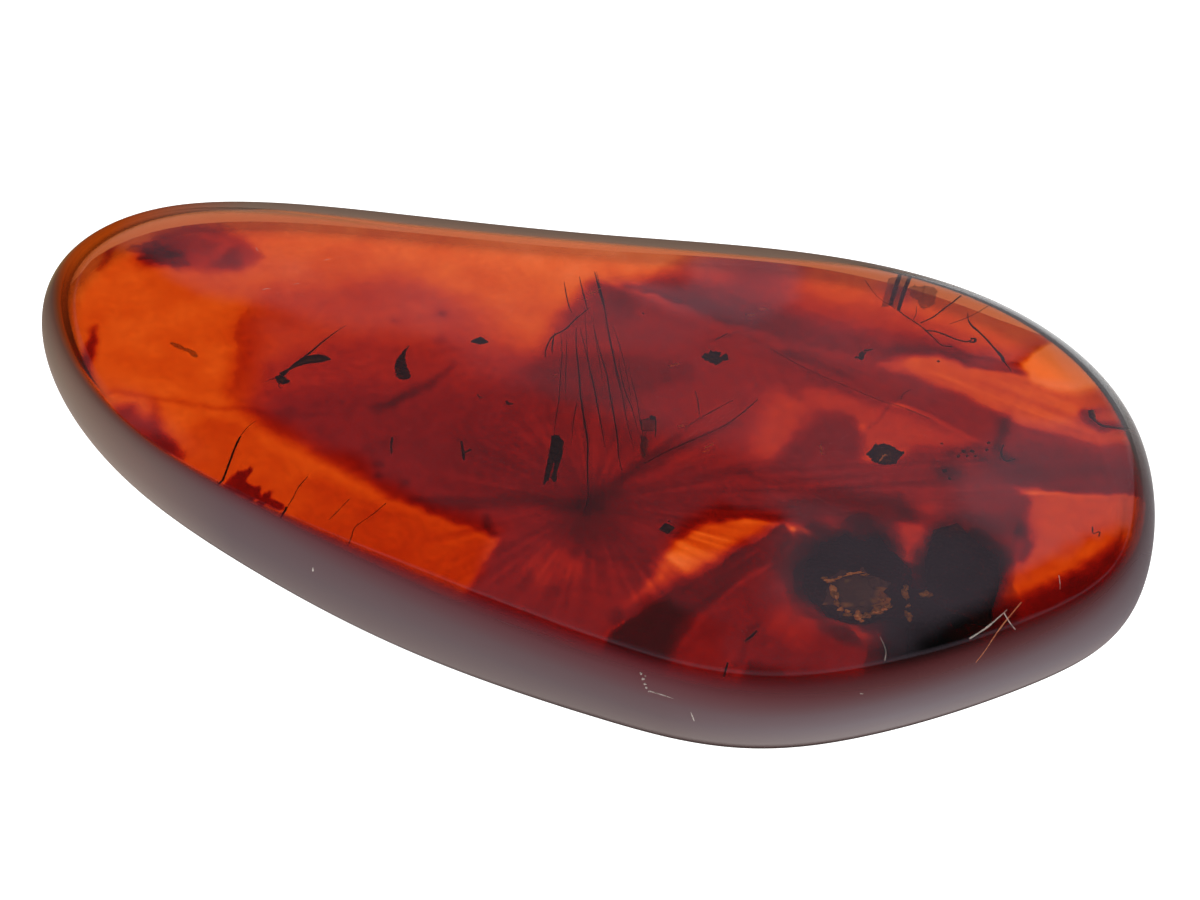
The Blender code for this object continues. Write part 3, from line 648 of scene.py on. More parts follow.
    mark((12.8, 7.4, 0.08, 0.08, 0.8), (12.6, 6.2, 0.08, 0.08, 1), (12.2, 4.6, 0.08, 0.08, 0.4))
    mark((17.7, 7.6, 0.3, 0.2, 1.6), (17.9, 6.4, 0.2, 0.2, 1.8), (18.2, 5.4, 0.2, 0.2, 2.6),
        (19, 5, 0.3, 0.2, 1.5))
    mark((20.9, 9.5, 0.22, 0.22, 4), (21.3, 9, 0.2, 0.2, 3.4), (22, 8.8, 0.16, 0.16, 2.6),
        (22.7, 9.2, 0.14, 0.14, 1.8))
    mark((21.2, 0.6, 0.3, 0.3, 2.2), (21.7, 0, 0.25, 0.25, 2.4), (21.8, -1.2, 0.2, 0.2, 2))
    for cx, cy, size, amount in ((-8.7, 4.1, 0.3, 0.8), (-10.7, 2.8, 0.25, 0.7), (-8, 2.2, 0.3, 0.7),
            (-6.8, -7, 0.25, 2),
                                 (-6.4, -7.6, 0.2, 2.4), (-7.6, -6.1, 0.3, 1.2), (-5.1, -7.5, 0.25, 1.5),
                                 (-7, -5.4, 0.5, 1)):
        d += amount * spot(near_x, near_y, cx, cy, size, size)
    crumbled = patch(near_x, near_y, [
        (-12.4, -11, 0.2), (-12.3, -9.6, 0.16), (-12.1, -9.5, 0.12), (-11.8, -9.0, 0.1),
        (-11.76, -9.6, 0.1), (-11.7, -10.3, 0.1),
        (-11.1, -10.5, 0.1), (-10.9, -10.3, 0.1), (-10.6, -10.9, 0.1), (-10.2, -10.3, 0.1),
        (-10, -10.9, 0.1), (-9.3, -11, 0.1),
        (-9.2, -11.7, 0.3), (-12, -11.6, 0.3),
    ])
    d += (4.8 - d) * crumbled * (d < 4.8)
    d += 0.5 * ease((d - 1.8) / 1.5)
    # combed grain: fine streaks that follow each flow
    fan = np.hypot(x - 2.6, y + 4.6)
    angle = np.degrees(np.arctan2(y + 4.6, x - 2.6))
    rays = drift(angle / 2.2, fan / 5, 1, 31) * ease((fan - 0.6) / 1.5) * ease((9 - fan) / 5)
    d += 0.9 * rays * (0.5 + 0.5 * ease((x + 6) / 8))
    right = patch(x, y, [(4, -4, 2), (8, 0.5, 2), (17, 6.5, 1.5), (24, 8, 2), (24, 5.2, 0.6), (20, 3.5, 1),
        (15, 0, 2), (10, -2.5, 1)])
    d += 1.3 * right * combed(x, y, 27, 4, 0.22, 33)
    upper = patch(x, y, [(-1, 8, 2), (-1, 12, 2), (10, 13, 2), (17, 12, 1), (24, 9, 2), (17, 6.5, 0.6),
        (6, 8.6, 0.6)])
    d += 0.5 * upper * combed(x, y, -8, 5, 0.25, 35)
    wedge = patch(x, y, [(11.5, -2.6, 0.6), (12, -5, 1), (10.6, -9, 1), (9.8, -13, 1), (7.5, -12, 0.5),
        (9.6, -5.5, 0.3)])
    d += 1.3 * wedge * combed(x, y, 66, 2.5, 0.16, 37)
    speckle = patch(x, y, [(11, -2.3, 0.5), (12.2, -2.4, 0.5), (12.2, -4, 0.6), (11, -5.6, 0.5),
        (10.2, -5, 0.5)])
    d -= 1.2 * speckle * ease(drift(x, y, 0.16, 39) * 1.4)
    d += 0.25 * (0.3 + ease(d / 4)) * drift(x, y, 0.3, 41) + 0.2 * drift(x, y, 1.1, 42)
    d = np.maximum(d, 0.6 * spot(x, y, 9.3, -4.6, 2.2, 2.6))
    return np.clip(d, 0, 10)


def painted_sheen_amount(x, y):
    """How thick the painted reflection sheen, a milky veil, is at each place of the top face, 0 to 1."""
    wx = x + 0.5 * drift(x, y, 2.2, 51) + 0.15 * drift(x, y, 0.7, 52)
    wy = y + 0.5 * drift(x, y, 2.2, 53) + 0.15 * drift(x, y, 0.7, 54)
    h = np.zeros(x.shape)

    def lay(value, *rows):
        nonlocal h
        h = h + (value - h) * patch(wx, wy, rows)

    lay(0.2, (-15.5, -0.5, 2), (-13, -6, 1.5), (-6, -8.4, 1.4), (0.4, -9.5, 1), (1, -15, 1), (7.6, -15, 1),
        (8, -11.5, 0.8), (12, -14, 1.5), (19, -11.5, 1.2), (22, -5, 0.8), (21.5, 1, 2), (0, 2, 3),
        (-12, 1.5, 3))
    lay(0.1, (8, -11, 1), (12, -11, 1), (13.5, -15, 1), (7, -16, 1))
    lay(0.52, (10.5, -2.4, 2), (22, -1, 1.5), (21.6, -5, 1), (19, -10, 2), (12.5, -9, 2))
    lay(0.46, (-24.4, 1.6, 1.4), (-20, 0.6, 1.4), (-16.5, 0.4, 1.6), (-13, 0.6, 2), (-8, 1, 2), (-3, 0, 3),
        (6, -0.5, 3),
        (16, -1.5, 3), (22.4, -1.4, 1.4), (24, 0.8, 0.8), (25.8, 2.4, 1), (24, 10, 1), (14, 16, 1),
        (0, 14, 1.5),
        (-14, 11, 1.5), (-26, 5.6, 1))
    h += 0.24 * spot(wx, wy, -9, 3.7, 2.8, 1.7) + 0.18 * spot(wx, wy, -18.6, 2.8, 1.6, 1.3) + 0.2 * spot(wx,
        wy, -16, 2.9, 0.8, 0.9)
    lay(0.6, (-3, 3, 1.4), (-3.2, 8.6, 0.8), (0.4, 9.8, 1), (6, 9.8, 1.5), (16, 9.6, 1.5), (14, 7, 2),
        (4, 7, 2), (0, 4, 2))
    lay(0.95, (-1.6, 8.4, 1), (0.6, 9.6, 0.8), (1.2, 12.4, 1), (5.4, 13.4, 1), (6, 10.4, 1), (5, 8, 1.4),
        (0, 7.4, 1.4))
    h += 0.3 * spot(wx, wy, 10.2, 12.8, 0.9, 1.2) + 0.25 * spot(wx, wy, 16.2, 10.2, 1, 0.7)
    lay(0.5, (12.4, 9.3, 0.8), (16, 9, 0.8), (19.4, 8.4, 0.8), (18.4, 7.2, 0.8), (13, 7.9, 0.8))
    lay(0.78, (17.4, 1.6, 2.2), (18, 7.2, 1.4), (20.8, 7.3, 1), (21.3, 9, 0.6), (22.8, 9, 0.6), (24.8, 5, 1),
        (24.6, 2.4, 1.4), (23.4, 0.6, 1.6), (21.8, -3, 1.4), (20.4, -1.4, 1.6))
    h += 0.35 * spot(wx, wy, -17.5, -9, 2.2, 0.8, -25)
    lay(0.0, (8.4, -3.6, 0.8), (11.4, -3.4, 0.4), (9.8, -7.0, 0.4), (8.4, -8.8, 0.4), (7.6, -8, 0.8))
    lay(0.0, (17, 9.9, 0.5), (17.4, 11.9, 0.4), (18.4, 11.7, 0.5), (19.6, 10.2, 0.9), (18.2, 9.5, 0.6))
    lay(0.0, (24.6, 0.2, 1.4), (25.8, 0, 1), (24.6, -4, 1), (21.8, -4.2, 1), (22.8, -2.2, 1.4))
    return np.clip(h, 0, 1)


def sheet(name, level, look, margin, **fields):
    """A closed level sheet across the slab, with values on its upper side and none below.

    Columns run across the slab between its two long edges, rows along it. The lower side is one strip
    between the same two edges, a hair below.
    """
    ring = edge_ring(level, margin)
    turn_back = np.argmin(ring[:, 0])
    turn_front = np.argmax(ring[:, 0])
    far = np.roll(ring, -turn_front, axis=0)[: (turn_back - turn_front) % len(ring) + 1][::-1]
    near = np.roll(ring, -turn_back, axis=0)[: (turn_front - turn_back) % len(ring) + 1]
    x = np.linspace(ring[:, 0].min() + 0.15, ring[:, 0].max() - 0.15, SHEET_COLUMNS)
    back, front = np.interp(x, far[:, 0], far[:, 1]), np.interp(x, near[:, 0], near[:, 1])
    across = np.linspace(0, 1, SHEET_ROWS)
    px = np.repeat(x, SHEET_ROWS)
    py = (front[:, None] + (back - front)[:, None] * across).ravel()
    top = np.column_stack((px, py, np.full(px.shape, level)))
    under = np.column_stack((np.repeat(x, 2), np.column_stack((front, back)).ravel(),
        np.full(2 * len(x), level - SHEET_THICKNESS)))
    points = np.concatenate((top, under))
    faces = [quad[::-1] for quad in grid(SHEET_COLUMNS, SHEET_ROWS)]
    first = len(top)
    faces += grid(SHEET_COLUMNS, 2, first=first)
    for c in range(SHEET_COLUMNS - 1):
        a, b = c * SHEET_ROWS, (c + 1) * SHEET_ROWS
        f, g = first + 2 * c, first + 2 * c + 2
        faces += [(a, f, g, b), (b + SHEET_ROWS - 1, g + 1, f + 1, a + SHEET_ROWS - 1)]
    end = first - SHEET_ROWS
    faces += [[*range(SHEET_ROWS)][::-1] + [first, first + 1],
        [*range(end, first)] + [len(points) - 1, len(points) - 2]]
    values = {}
    for key, field in fields.items():
        values[key] = np.concatenate((field(px, py), np.zeros(len(under))))
    return piece(name, points, faces, look, **values)


def resin_flow_look():
    """Dirtier resin: the same red-brown filter as the amber, over and over, with no surface of its own."""
    look, tree = material("dirty_resin_flow")
    dense = node(tree, "ShaderNodeAttribute", attribute_name="murk").outputs["Fac"]
    twice = maths(tree, "MULTIPLY", dense, 2.0)
    bands = [maths(tree, "POWER", share, twice) for share in FLOW_PASSES]
    tint = node(tree, "ShaderNodeCombineColor", dict(enumerate(bands))).outputs[0]
    return finished(look, tree, {"Base Color": tint, **NO_SURFACE})


# --- what the resin caught -----------------------------------------------------------------------------
# Insects, hairs and splinters lie in one bed, where one flow of resin set before the next ran over it.

BED = 2.6


def open_curve(rows, steps=6):
    """Places along the smooth open curve through the rows.

    Each span is a cubic whose slope at a row is half the step from the row before to the row after.
    """
    rows = np.asarray(rows, float)
    slopes = np.gradient(rows, axis=0)
    u = np.linspace(0, 1, steps, endpoint=False)[:, None, None]
    start, end, leave, arrive = rows[:-1], rows[1:], slopes[:-1], slopes[1:]
    spans = start + leave * u + (3 * (end - start) - 2 * leave - arrive) * u**2 + (2 * (start - end)
        + leave + arrive) * u**3
    return np.concatenate((spans.transpose(1, 0, 2).reshape(-1, rows.shape[1]), rows[-1:]))


def thread(rows, level=BED, sides=7, flat=1.0, rough=0.0, seed=0):
    """A closed thread: ovals carried along the smooth curve through rows of x, y and half width.

    Flat is the oval's height over its width. Rough is the share by which its width wanders at random.
    """
    line = open_curve([(x, y, level, half) for x, y, half in rows])
    half = line[:, 3] * (1 + rough * np.random.default_rng(seed).uniform(-1, 1, len(line)))
    along = np.gradient(line[:, :3], axis=0)
    along /= np.linalg.norm(along, axis=1)[:, None]
    side = np.column_stack((-along[:, 1], along[:, 0], np.zeros(len(line))))
    side /= np.linalg.norm(side, axis=1)[:, None]
    up = np.cross(along, side)
    turn = np.linspace(0, 2 * math.pi, sides, endpoint=False)[None, :, None]
    rings = line[:, None, :3] + half[:, None, None] * (np.cos(turn) * side[:,
        None] + flat * np.sin(turn) * up[:, None])
    last = (len(line) - 1) * sides
    caps = [list(range(sides))[::-1], list(range(last, last + sides))]
    return rings.reshape(-1, 3), grid(len(line), sides, close=True) + caps


def plate(rows, level=BED, thick=0.2, ragged=0.015, seed=0):
    """A closed flat chip: its outline cut into short steps and roughened, its two rims drawn in a little."""
    rows = np.asarray(rows, float)
    after = np.roll(rows, -1, axis=0)
    count = np.maximum(2, np.ceil(np.hypot(*(after - rows).T) / 0.07)).astype(int)
    ring = np.concatenate([a + (b - a) * np.arange(n)[:, None] / n for a, b, n in zip(rows, after, count)])
    ring = ring + np.random.default_rng(seed).normal(0, ragged, ring.shape)
    if np.sum(ring[:, 0] * np.roll(ring[:, 1], -1) - ring[:, 1] * np.roll(ring[:, 0], -1)) < 0:
        ring = ring[::-1]
    slope = np.roll(ring, -1, axis=0) - np.roll(ring, 1, axis=0)
    inward = np.column_stack((-slope[:, 1], slope[:, 0])) / np.hypot(*slope.T)[:, None]
    steps = ((-0.5, 0.025), (-0.2, 0.0), (0.2, 0.0), (0.5, 0.025))
    rings = [np.column_stack((ring + inward * draw, np.full(len(ring), level + rise * thick)))
        for rise, draw in steps]
    around = len(ring)
    caps = [list(range(around))[::-1], list(range(3 * around, 4 * around))]
    return np.concatenate(rings), grid(4, around, close=True) + caps


def lens(centre, size, turn=0.0, rough=0.0, seed=0, columns=24, rows=14):
    """A closed ball drawn out to a size and turned, its points pushed in and out by soft random steps."""
    up = np.linspace(-1, 1, rows + 1)[1:-1] * math.pi / 2
    round_ = np.linspace(0, 2 * math.pi, columns, endpoint=False)
    u, v = np.meshgrid(up, round_, indexing="ij")
    reach = 1 + rough * drift(3 * np.cos(v) * np.cos(u) + 5, 3 * np.sin(v) * np.cos(u) + 2 * np.sin(u) + 5,
        1.0, seed)
    ball = np.stack((np.cos(v) * np.cos(u), np.sin(v) * np.cos(u), np.sin(u)), -1) * reach[..., None]
    ball = np.concatenate((ball.reshape(-1, 3), ((0, 0, -1), (0, 0, 1)))) * np.asarray(size) / 2
    c, s = math.cos(math.radians(turn)), math.sin(math.radians(turn))
    points = ball @ np.array(((c, s, 0), (-s, c, 0), (0, 0, 1))) + centre
    faces = grid(len(up), columns, close=True)
    low, high, top = len(points) - 2, len(points) - 1, (len(up) - 1) * columns
    j = np.arange(columns)
    k = (j + 1) % columns
    faces += np.column_stack((np.full(columns, low), k, j)).tolist()
    faces += np.column_stack((np.full(columns, high), top + j, top + k)).tolist()
    return points, faces


def joined(*parts):
    """Several closed shapes as the points and faces of one mesh."""
    points, faces, first = [], [], 0
    for some, those in parts:
        points.append(some)
        faces += [[corner + first for corner in face] for face in those]
        first += len(some)
    return np.concatenate(points), faces


def caught(name, slot, look, parts, *nodes):
    """A piece sealed in the amber, which hides the CAD nodes that it stands for. Slot is not used."""
    made = piece(name, *joined(*parts), look)
    if nodes:
        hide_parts(*nodes)
    return made


def husk_like(name, dark, light, grain, stretch, roughness, specular=0.5, bump=0.3, alpha=1.0):
    """Dried plant or insect matter: two browns in drawn-out grain, with a fine bump along it.

    Grain is the size in millimetres of its mottling, stretch draws that out along the slab's length.
    """
    look, tree = material(name)
    place = node(tree, "ShaderNodeTexCoord").outputs["Object"]
    drawn = node(tree, "ShaderNodeMapping", {"Vector": place, "Scale": (1 / stretch, 1.0, 1.0)}).outputs[0]
    mottle = noise(tree, drawn, scale=1 / (grain * MM), detail=5.0, roughness=0.65)
    return finished(look, tree, {
        "Base Color": mix(tree, spread(tree, mottle, 0.35, 0.7), dark, light),
        "Roughness": roughness,
        "Specular IOR Level": specular,
        "Normal": bumped(tree, mottle, bump, 0.05),
        "Alpha": alpha,
    })


def crumb_look():
    """A fresh crumb of bark: gold-brown cork at its rim, blue-black and burnt in its middle."""
    look, tree = material("gold_brown_cork")
    place = node(tree, "ShaderNodeTexCoord").outputs["Object"]
    middle = (16.05 * MM, -6.35 * MM, 3.0 * MM)
    apart = node(tree, "ShaderNodeVectorMath", {0: place, 1: middle}, operation="DISTANCE").outputs["Value"]
    grain = noise(tree, place, scale=1500.0, detail=5.0, roughness=0.7)
    patchy = spread(tree, noise(tree, place, scale=700.0, detail=2.0), 0.56, 0.62)
    gold = maths(tree, "MULTIPLY", spread(tree, apart, 0.7 * MM, 1.25 * MM), patchy, clamp=True)
    return finished(look, tree, {
        "Base Color": mix(tree, gold, "#565b70", mix(tree, grain, "#86661c", "#ffe88c")),
        "Roughness": 0.85,
        "Normal": bumped(tree, grain, 0.6, 0.1),
    })


def stain_look(name, *bands):
    """Tannin and dust soaked into the resin: plain absorption per millimetre, with no surface of its own."""
    look, tree = material(name)
    clear = {"Base Color": linear("#ffffff"), **NO_SURFACE}
    return finished(look, tree, clear, absorbing(tree, *bands, max(bands)))


def insects(chitin, film):
    """The insects, each in its own pocket: small dark bodies, with the few limbs that the resin kept."""
    caught("wasp_body", "chitin", chitin, (
        thread([(-13.36, -2.5, 0.05), (-13.2, -2.05, 0.15), (-12.95, -1.6, 0.25), (-12.6, -1.3, 0.3),
        (-12.25, -1.12, 0.22),
                (-11.93, -1.06, 0.03)], flat=0.7, rough=0.06, seed=1, sides=12),
        thread([(-13.68, -3.2, 0.05), (-13.45, -3.2, 0.24), (-13.2, -3.32, 0.22), (-12.94, -3.2, 0.06)],
        flat=0.8, rough=0.15, seed=2),
        thread([(-13.5, -2.95, 0.16), (-13.42, -2.7, 0.12), (-13.36, -2.45, 0.07)], rough=0.15, seed=3),
        thread([(-13.13, -1.5, 0.06), (-12.98, -0.82, 0.05), (-12.88, -0.25, 0.045), (-12.75, 0.28, 0.035),
        (-12.6, 0.85, 0.02),
                (-12.4, 1.4, 0.01)], rough=0.1, seed=4),
        thread([(-13.3, -3.5, 0.03), (-13.25, -3.72, 0.02), (-13.05, -3.8, 0.012)]),
        thread([(-13.6, -3.3, 0.03), (-13.8, -3.45, 0.02), (-13.9, -3.7, 0.012)]),
    ), "wasp")
    caught("beetle_shell", "chitin", chitin, (
        plate([(12.82, 2.68), (12.91, 3.06), (12.9, 3.43), (13.05, 3.36), (13.16, 3.55), (13.48, 3.65),
        (13.61, 3.61),
               (13.83, 3.51), (14.12, 3.41), (14.3, 3.49), (14.27, 3.15), (14.24, 2.94), (14.25, 2.62),
               (14.01, 2.46),
               (13.77, 2.34), (13.55, 2.28), (13.2, 2.34), (13.02, 2.54)], thick=0.3, ragged=0.025, seed=5),
        lens((13.55, 2.98, BED), (1.25, 1.0, 0.75), 20, 0.12, 6),
    ), "beetle")
    caught("beetle_pale_leg", "chitin", husk_like("bleached_leg", "#ffe9c0", "#fff8ea", 0.1, 1.0, 0.4), (
        thread([(13.72, 2.75, 0.06), (13.62, 2.6, 0.035), (13.62, 2.42, 0.04), (13.6, 2.2, 0.03)],
        level=BED + 0.42),
    ))
    caught("midge_body", "chitin", chitin, (
        plate([(9.82, 8.83), (9.94, 8.94), (9.85, 9.09), (9.93, 9.33), (10.06, 9.24), (10.19, 8.85),
        (10.14, 8.73), (9.96, 8.8)],
              thick=0.2, seed=7),
        thread([(9.8, 8.75, 0.04), (10, 8.95, 0.09), (10.1, 9.3, 0.03)]),
        thread([(10, 9.38, 0.07), (10.17, 9.53, 0.06), (10.34, 9.7, 0.02)], flat=0.5),
    ), "midge")
    caught("insect_leg_joints", "chitin", chitin, (
        thread([(18.15, 5.75, 0.03), (18.22, 5.3, 0.05), (18.4, 4.95, 0.07), (18.7, 4.78, 0.06),
        (18.95, 5.05, 0.03)], rough=0.2, seed=8),
    ), "insect_leg")
    caught("insect_feeler_joints", "chitin", chitin, (
        thread([(20.9, 9.55, 0.12), (21.1, 9.2, 0.13), (21.4, 8.92, 0.06), (21.87, 8.75, 0.06),
        (22.4, 8.9, 0.05), (22.65, 9.3, 0.03)],
               rough=0.25, seed=9),
    ), "insect_feeler")
    caught("insect_shreds", "chitin", film, (
        thread([(-3.4, -0.5, 0.05), (-3.25, -0.62, 0.07), (-3.05, -0.55, 0.03)], rough=0.3, seed=10),
        thread([(-3.25, -0.62, 0.02), (-3.4, -0.9, 0.015)]),
        thread([(-4.8, -0.6, 0.03), (-4.6, -0.75, 0.04), (-4.45, -0.72, 0.02)], rough=0.3, seed=11),
    ))


def plant_hairs(look):
    """Stellate hairs shed by a bud: fine strands that fan up from the knot, tapered at both ends."""
    runs = (
        (0.042, (-2.7, 5.6), (-2.1, 4.3), (-1.3, 2.8), (-0.6, 1.4), (0.3, -0.2), (1.1, -1.6), (1.9, -3.4),
        (2.6, -4.9), (2.9, -5.9)),
        (0.026, (0, 4.3), (0.7, 3.1), (1.3, 2.2), (2, 1.3), (2.8, 0.1)),
        (0.022, (-1.6, 6.4), (-0.5, 4.7), (0.4, 3.2), (1.2, 2), (2.2, 0.3), (3.2, -1.2)),
        (0.034, (-2, 6), (-1.1, 4.6), (0, 3), (0.8, 1.6), (1.4, 0.6), (2.2, -0.8), (2.8, -2), (3.3, -2.8)),
        (0.032, (-2.5, 5.6), (-1.2, 3.6), (-0.2, 2), (0.7, 0.5), (1.3, -0.5), (2, -1.7)),
        (0.02, (0.6, 4), (1.8, 2.2), (2.6, 0.8), (3.2, -0.2)),
        (0.022, (-3.2, 5), (-2.5, 3.6), (-1.9, 2.1), (-1.3, 0.6), (-0.8, -0.9), (-0.4, -1.9)),
        (0.02, (-2.9, 5), (-2.2, 3.4), (-1.6, 2), (-1, 0.6)),
        (0.02, (-0.55, 1.1), (-0.3, 0.2), (0.1, -1), (0.5, -2)),
        (0.028, (-3.5, 9.7), (-2.8, 8.6), (-2.3, 7.8), (-1.5, 6.4), (-0.6, 4.9), (0.2, 3.6), (1, 2.4),
        (1.9, 1)),
        (0.026, (-4.6, 8.5), (-4.2, 7.8), (-3.7, 7), (-3.3, 6.5)),
        (0.03, (-4.1, 9.1), (-3.6, 8.3), (-3, 7.4), (-2.6, 6.8)),
        (0.05, (-3.6, 9.7), (-3, 8.8), (-2.4, 7.9), (-2, 7.3)),
        (0.045, (-2.7, 7.2), (-2.9, 6.4), (-3, 5.8), (-3.1, 5.2), (-3.4, 4.5), (-3.3, 3.6), (-3.1, 3.1)),
        (0.035, (-3.4, 4.8), (-3.2, 4.1), (-2.9, 3.4)),
        (0.016, (-3.1, 7.4), (-2.2, 5.6), (-1.4, 4), (-0.6, 2.5)),
        (0.015, (-2.6, 7.2), (-1.6, 5.3), (-0.6, 3.6), (0.3, 2.1)),
        (0.016, (-1.2, 6.4), (0, 4.7), (1, 3.1), (1.7, 1.9)),
    )
    parts = []
    for number, (half, *places) in enumerate(runs):
        share = np.linspace(-1, 1, len(places))
        rows = [(x, y, half * (1 - 0.65 * s**2)) for (x, y), s in zip(places, share)]
        parts.append(thread(rows, level=BED + 0.04 * (number % 5 - 2), sides=6, rough=0.12,
            seed=20 + number))
    return caught("plant_hairs", "wood", look, parts, "plant_hair_1", "plant_hair_2", "plant_hair_3",
        "plant_hair_4")


def beams(look):
    """Straw-like strands right of the hairs, and thin lines in the resin that lead to the knot."""
    runs = (
        (0.026, (6.9, 4.2), (6.7, 3.3), (6.5, 2.6), (6.2, 1.8), (5.4, 0.5), (4.6, -0.8), (4, -2)),
        (0.02, (5.9, 3.7), (5.3, 2.5), (5, 1.8), (4.7, 1.1)),
        (0.02, (4.1, 3.6), (4.6, 2.8), (4.9, 2.2)),
        (0.02, (3.2, 0.2), (3.4, -0.8), (3.9, -1.5)),
        (0.03, (3.5, 7.4), (3.8, 8)),
        (0.018, (6, 7.8), (8, 7.15), (10, 6.75), (12, 6.4), (13, 6.35), (14.5, 6.1)),
        (0.022, (12.8, 6.9), (12.75, 7.25), (12.95, 7.7)),
        (0.02, (-9.15, -11.1), (-9.2, -10.4), (-9.3, -9.7), (-9.25, -8.85)),
        (0.02, (-5.6, -11.9), (-5.8, -11.35), (-5.8, -10.9), (-5.5, -10), (-5.3, -9.1)),
        (0.016, (-7.1, -11.1), (-7, -10.4), (-6.9, -9.5)),
        (0.05, (-7, -4.9), (-6.8, -5.4), (-6.55, -5.9)),
        (0.03, (23.7, 2.1), (23.9, 1.7), (24.1, 1.9), (24.2, 1.6)),
    )
    parts = []
    for number, (half, *places) in enumerate(runs):
        parts.append(thread([(x, y, half) for x, y in places], sides=6, rough=0.25, seed=60 + number))
    return caught("straw_strands", "wood", look, parts)


def far_end_bits(wood, film):
    """Bars, stalks and a shred of leaf by the far edge of the wide end."""
    caught("stalk_bar_left", "wood", film, (
        thread([(9.42, 15.05, 0.1), (9.6, 14.2, 0.11), (9.85, 12.99, 0.1)], sides=10, flat=0.8, rough=0.06,
        seed=80),
    ), "needle_1")
    caught("stalk_bar_right", "wood", film, (
        thread([(9.9, 15.1, 0.09), (10.1, 13.9, 0.1), (10.32, 12.75, 0.08)], sides=10, flat=0.8, rough=0.06,
        seed=81),
    ), "needle_2")
    caught("stalk_film", "wood", husk_like("thin_brown_film", "#59402f", "#8a5c3c", 0.3, 1.0, 0.5,
        alpha=0.34), (
        plate([(9.45, 14.95), (9.95, 15), (10.3, 12.9), (9.9, 12.9)], thick=0.03, seed=82),
        plate([(9.05, 14.7), (9.4, 14.9), (9.85, 13.0), (9.5, 12.7)], thick=0.02, seed=83, level=BED - 0.1),
        plate([(10.2, 14.45), (10.35, 14.72), (10.63, 14.64), (10.83, 14.8), (11.16, 14.81), (11.47, 14.67),
        (11.67, 13.93),
               (11.55, 13.6), (11.33, 13.3), (11.04, 13.51), (10.89, 13.79), (10.48, 13.95)], thick=0.06,
               ragged=0.03, seed=84),
        plate([(2.67, 0.8), (3.21, 1.09), (3.56, 0.37), (2.99, 0.07)], thick=0.05, ragged=0.03, seed=85),
        plate([(3.1, -0.2), (3.55, -0.4), (3.8, -1.06), (3.9, -1.6), (3.7, -1.6), (3.3, -0.8)], thick=0.1,
        ragged=0.03, seed=86),
    ))
    caught("brown_stalk", "wood", wood, (
        thread([(13.3, 13.9, 0.015), (13.5, 13.44, 0.03), (13.8, 13.1, 0.055), (14.3, 12.78, 0.05),
        (14.82, 12.4, 0.045),
                (15.36, 11.96, 0.05), (15.84, 11.57, 0.08), (15.98, 11.38, 0.09), (16.14, 11.2, 0.04),
                (16.6, 10.8, 0.02)],
               rough=0.15, seed=87),
    ), "needle_3")
    runs = (
        (0.032, (10.26, 12.82), (10.71, 12.54), (11.41, 12.24), (11.83, 12.02), (12.51, 11.57),
        (13.07, 11.21), (13.54, 11.29)),
        (0.036, (12.54, 14.73), (12.22, 13.83), (11.97, 12.97), (11.59, 12.32)),
        (0.018, (13.97, 14.61), (13.71, 14.09), (13.25, 13.33), (12.86, 12.82)),
        (0.045, (11.97, 11.88), (12.42, 12.01), (12.94, 11.97), (13.48, 11.87), (13.98, 11.89),
        (14.18, 12.11)),
        (0.06, (14.1, 12.2), (14.3, 12.25), (14.34, 12.02), (14.14, 11.95)),
        (0.016, (8.1, 14.2), (9.1, 13.3), (10.2, 12.8)),
        (0.014, (11.2, 12.4), (11.15, 12.9), (10.95, 13.4)),
    )
    parts = [thread([(x, y, half) for x, y in places], sides=6, rough=0.2, seed=90 + number)
        for number, (half, *places) in enumerate(runs)]
    parts.append(lens((13.35, 10.06, BED), (0.16, 0.14, 0.1), 0, 0.2, 97, 8, 6))
    caught("leaf_veins", "wood", wood, parts)


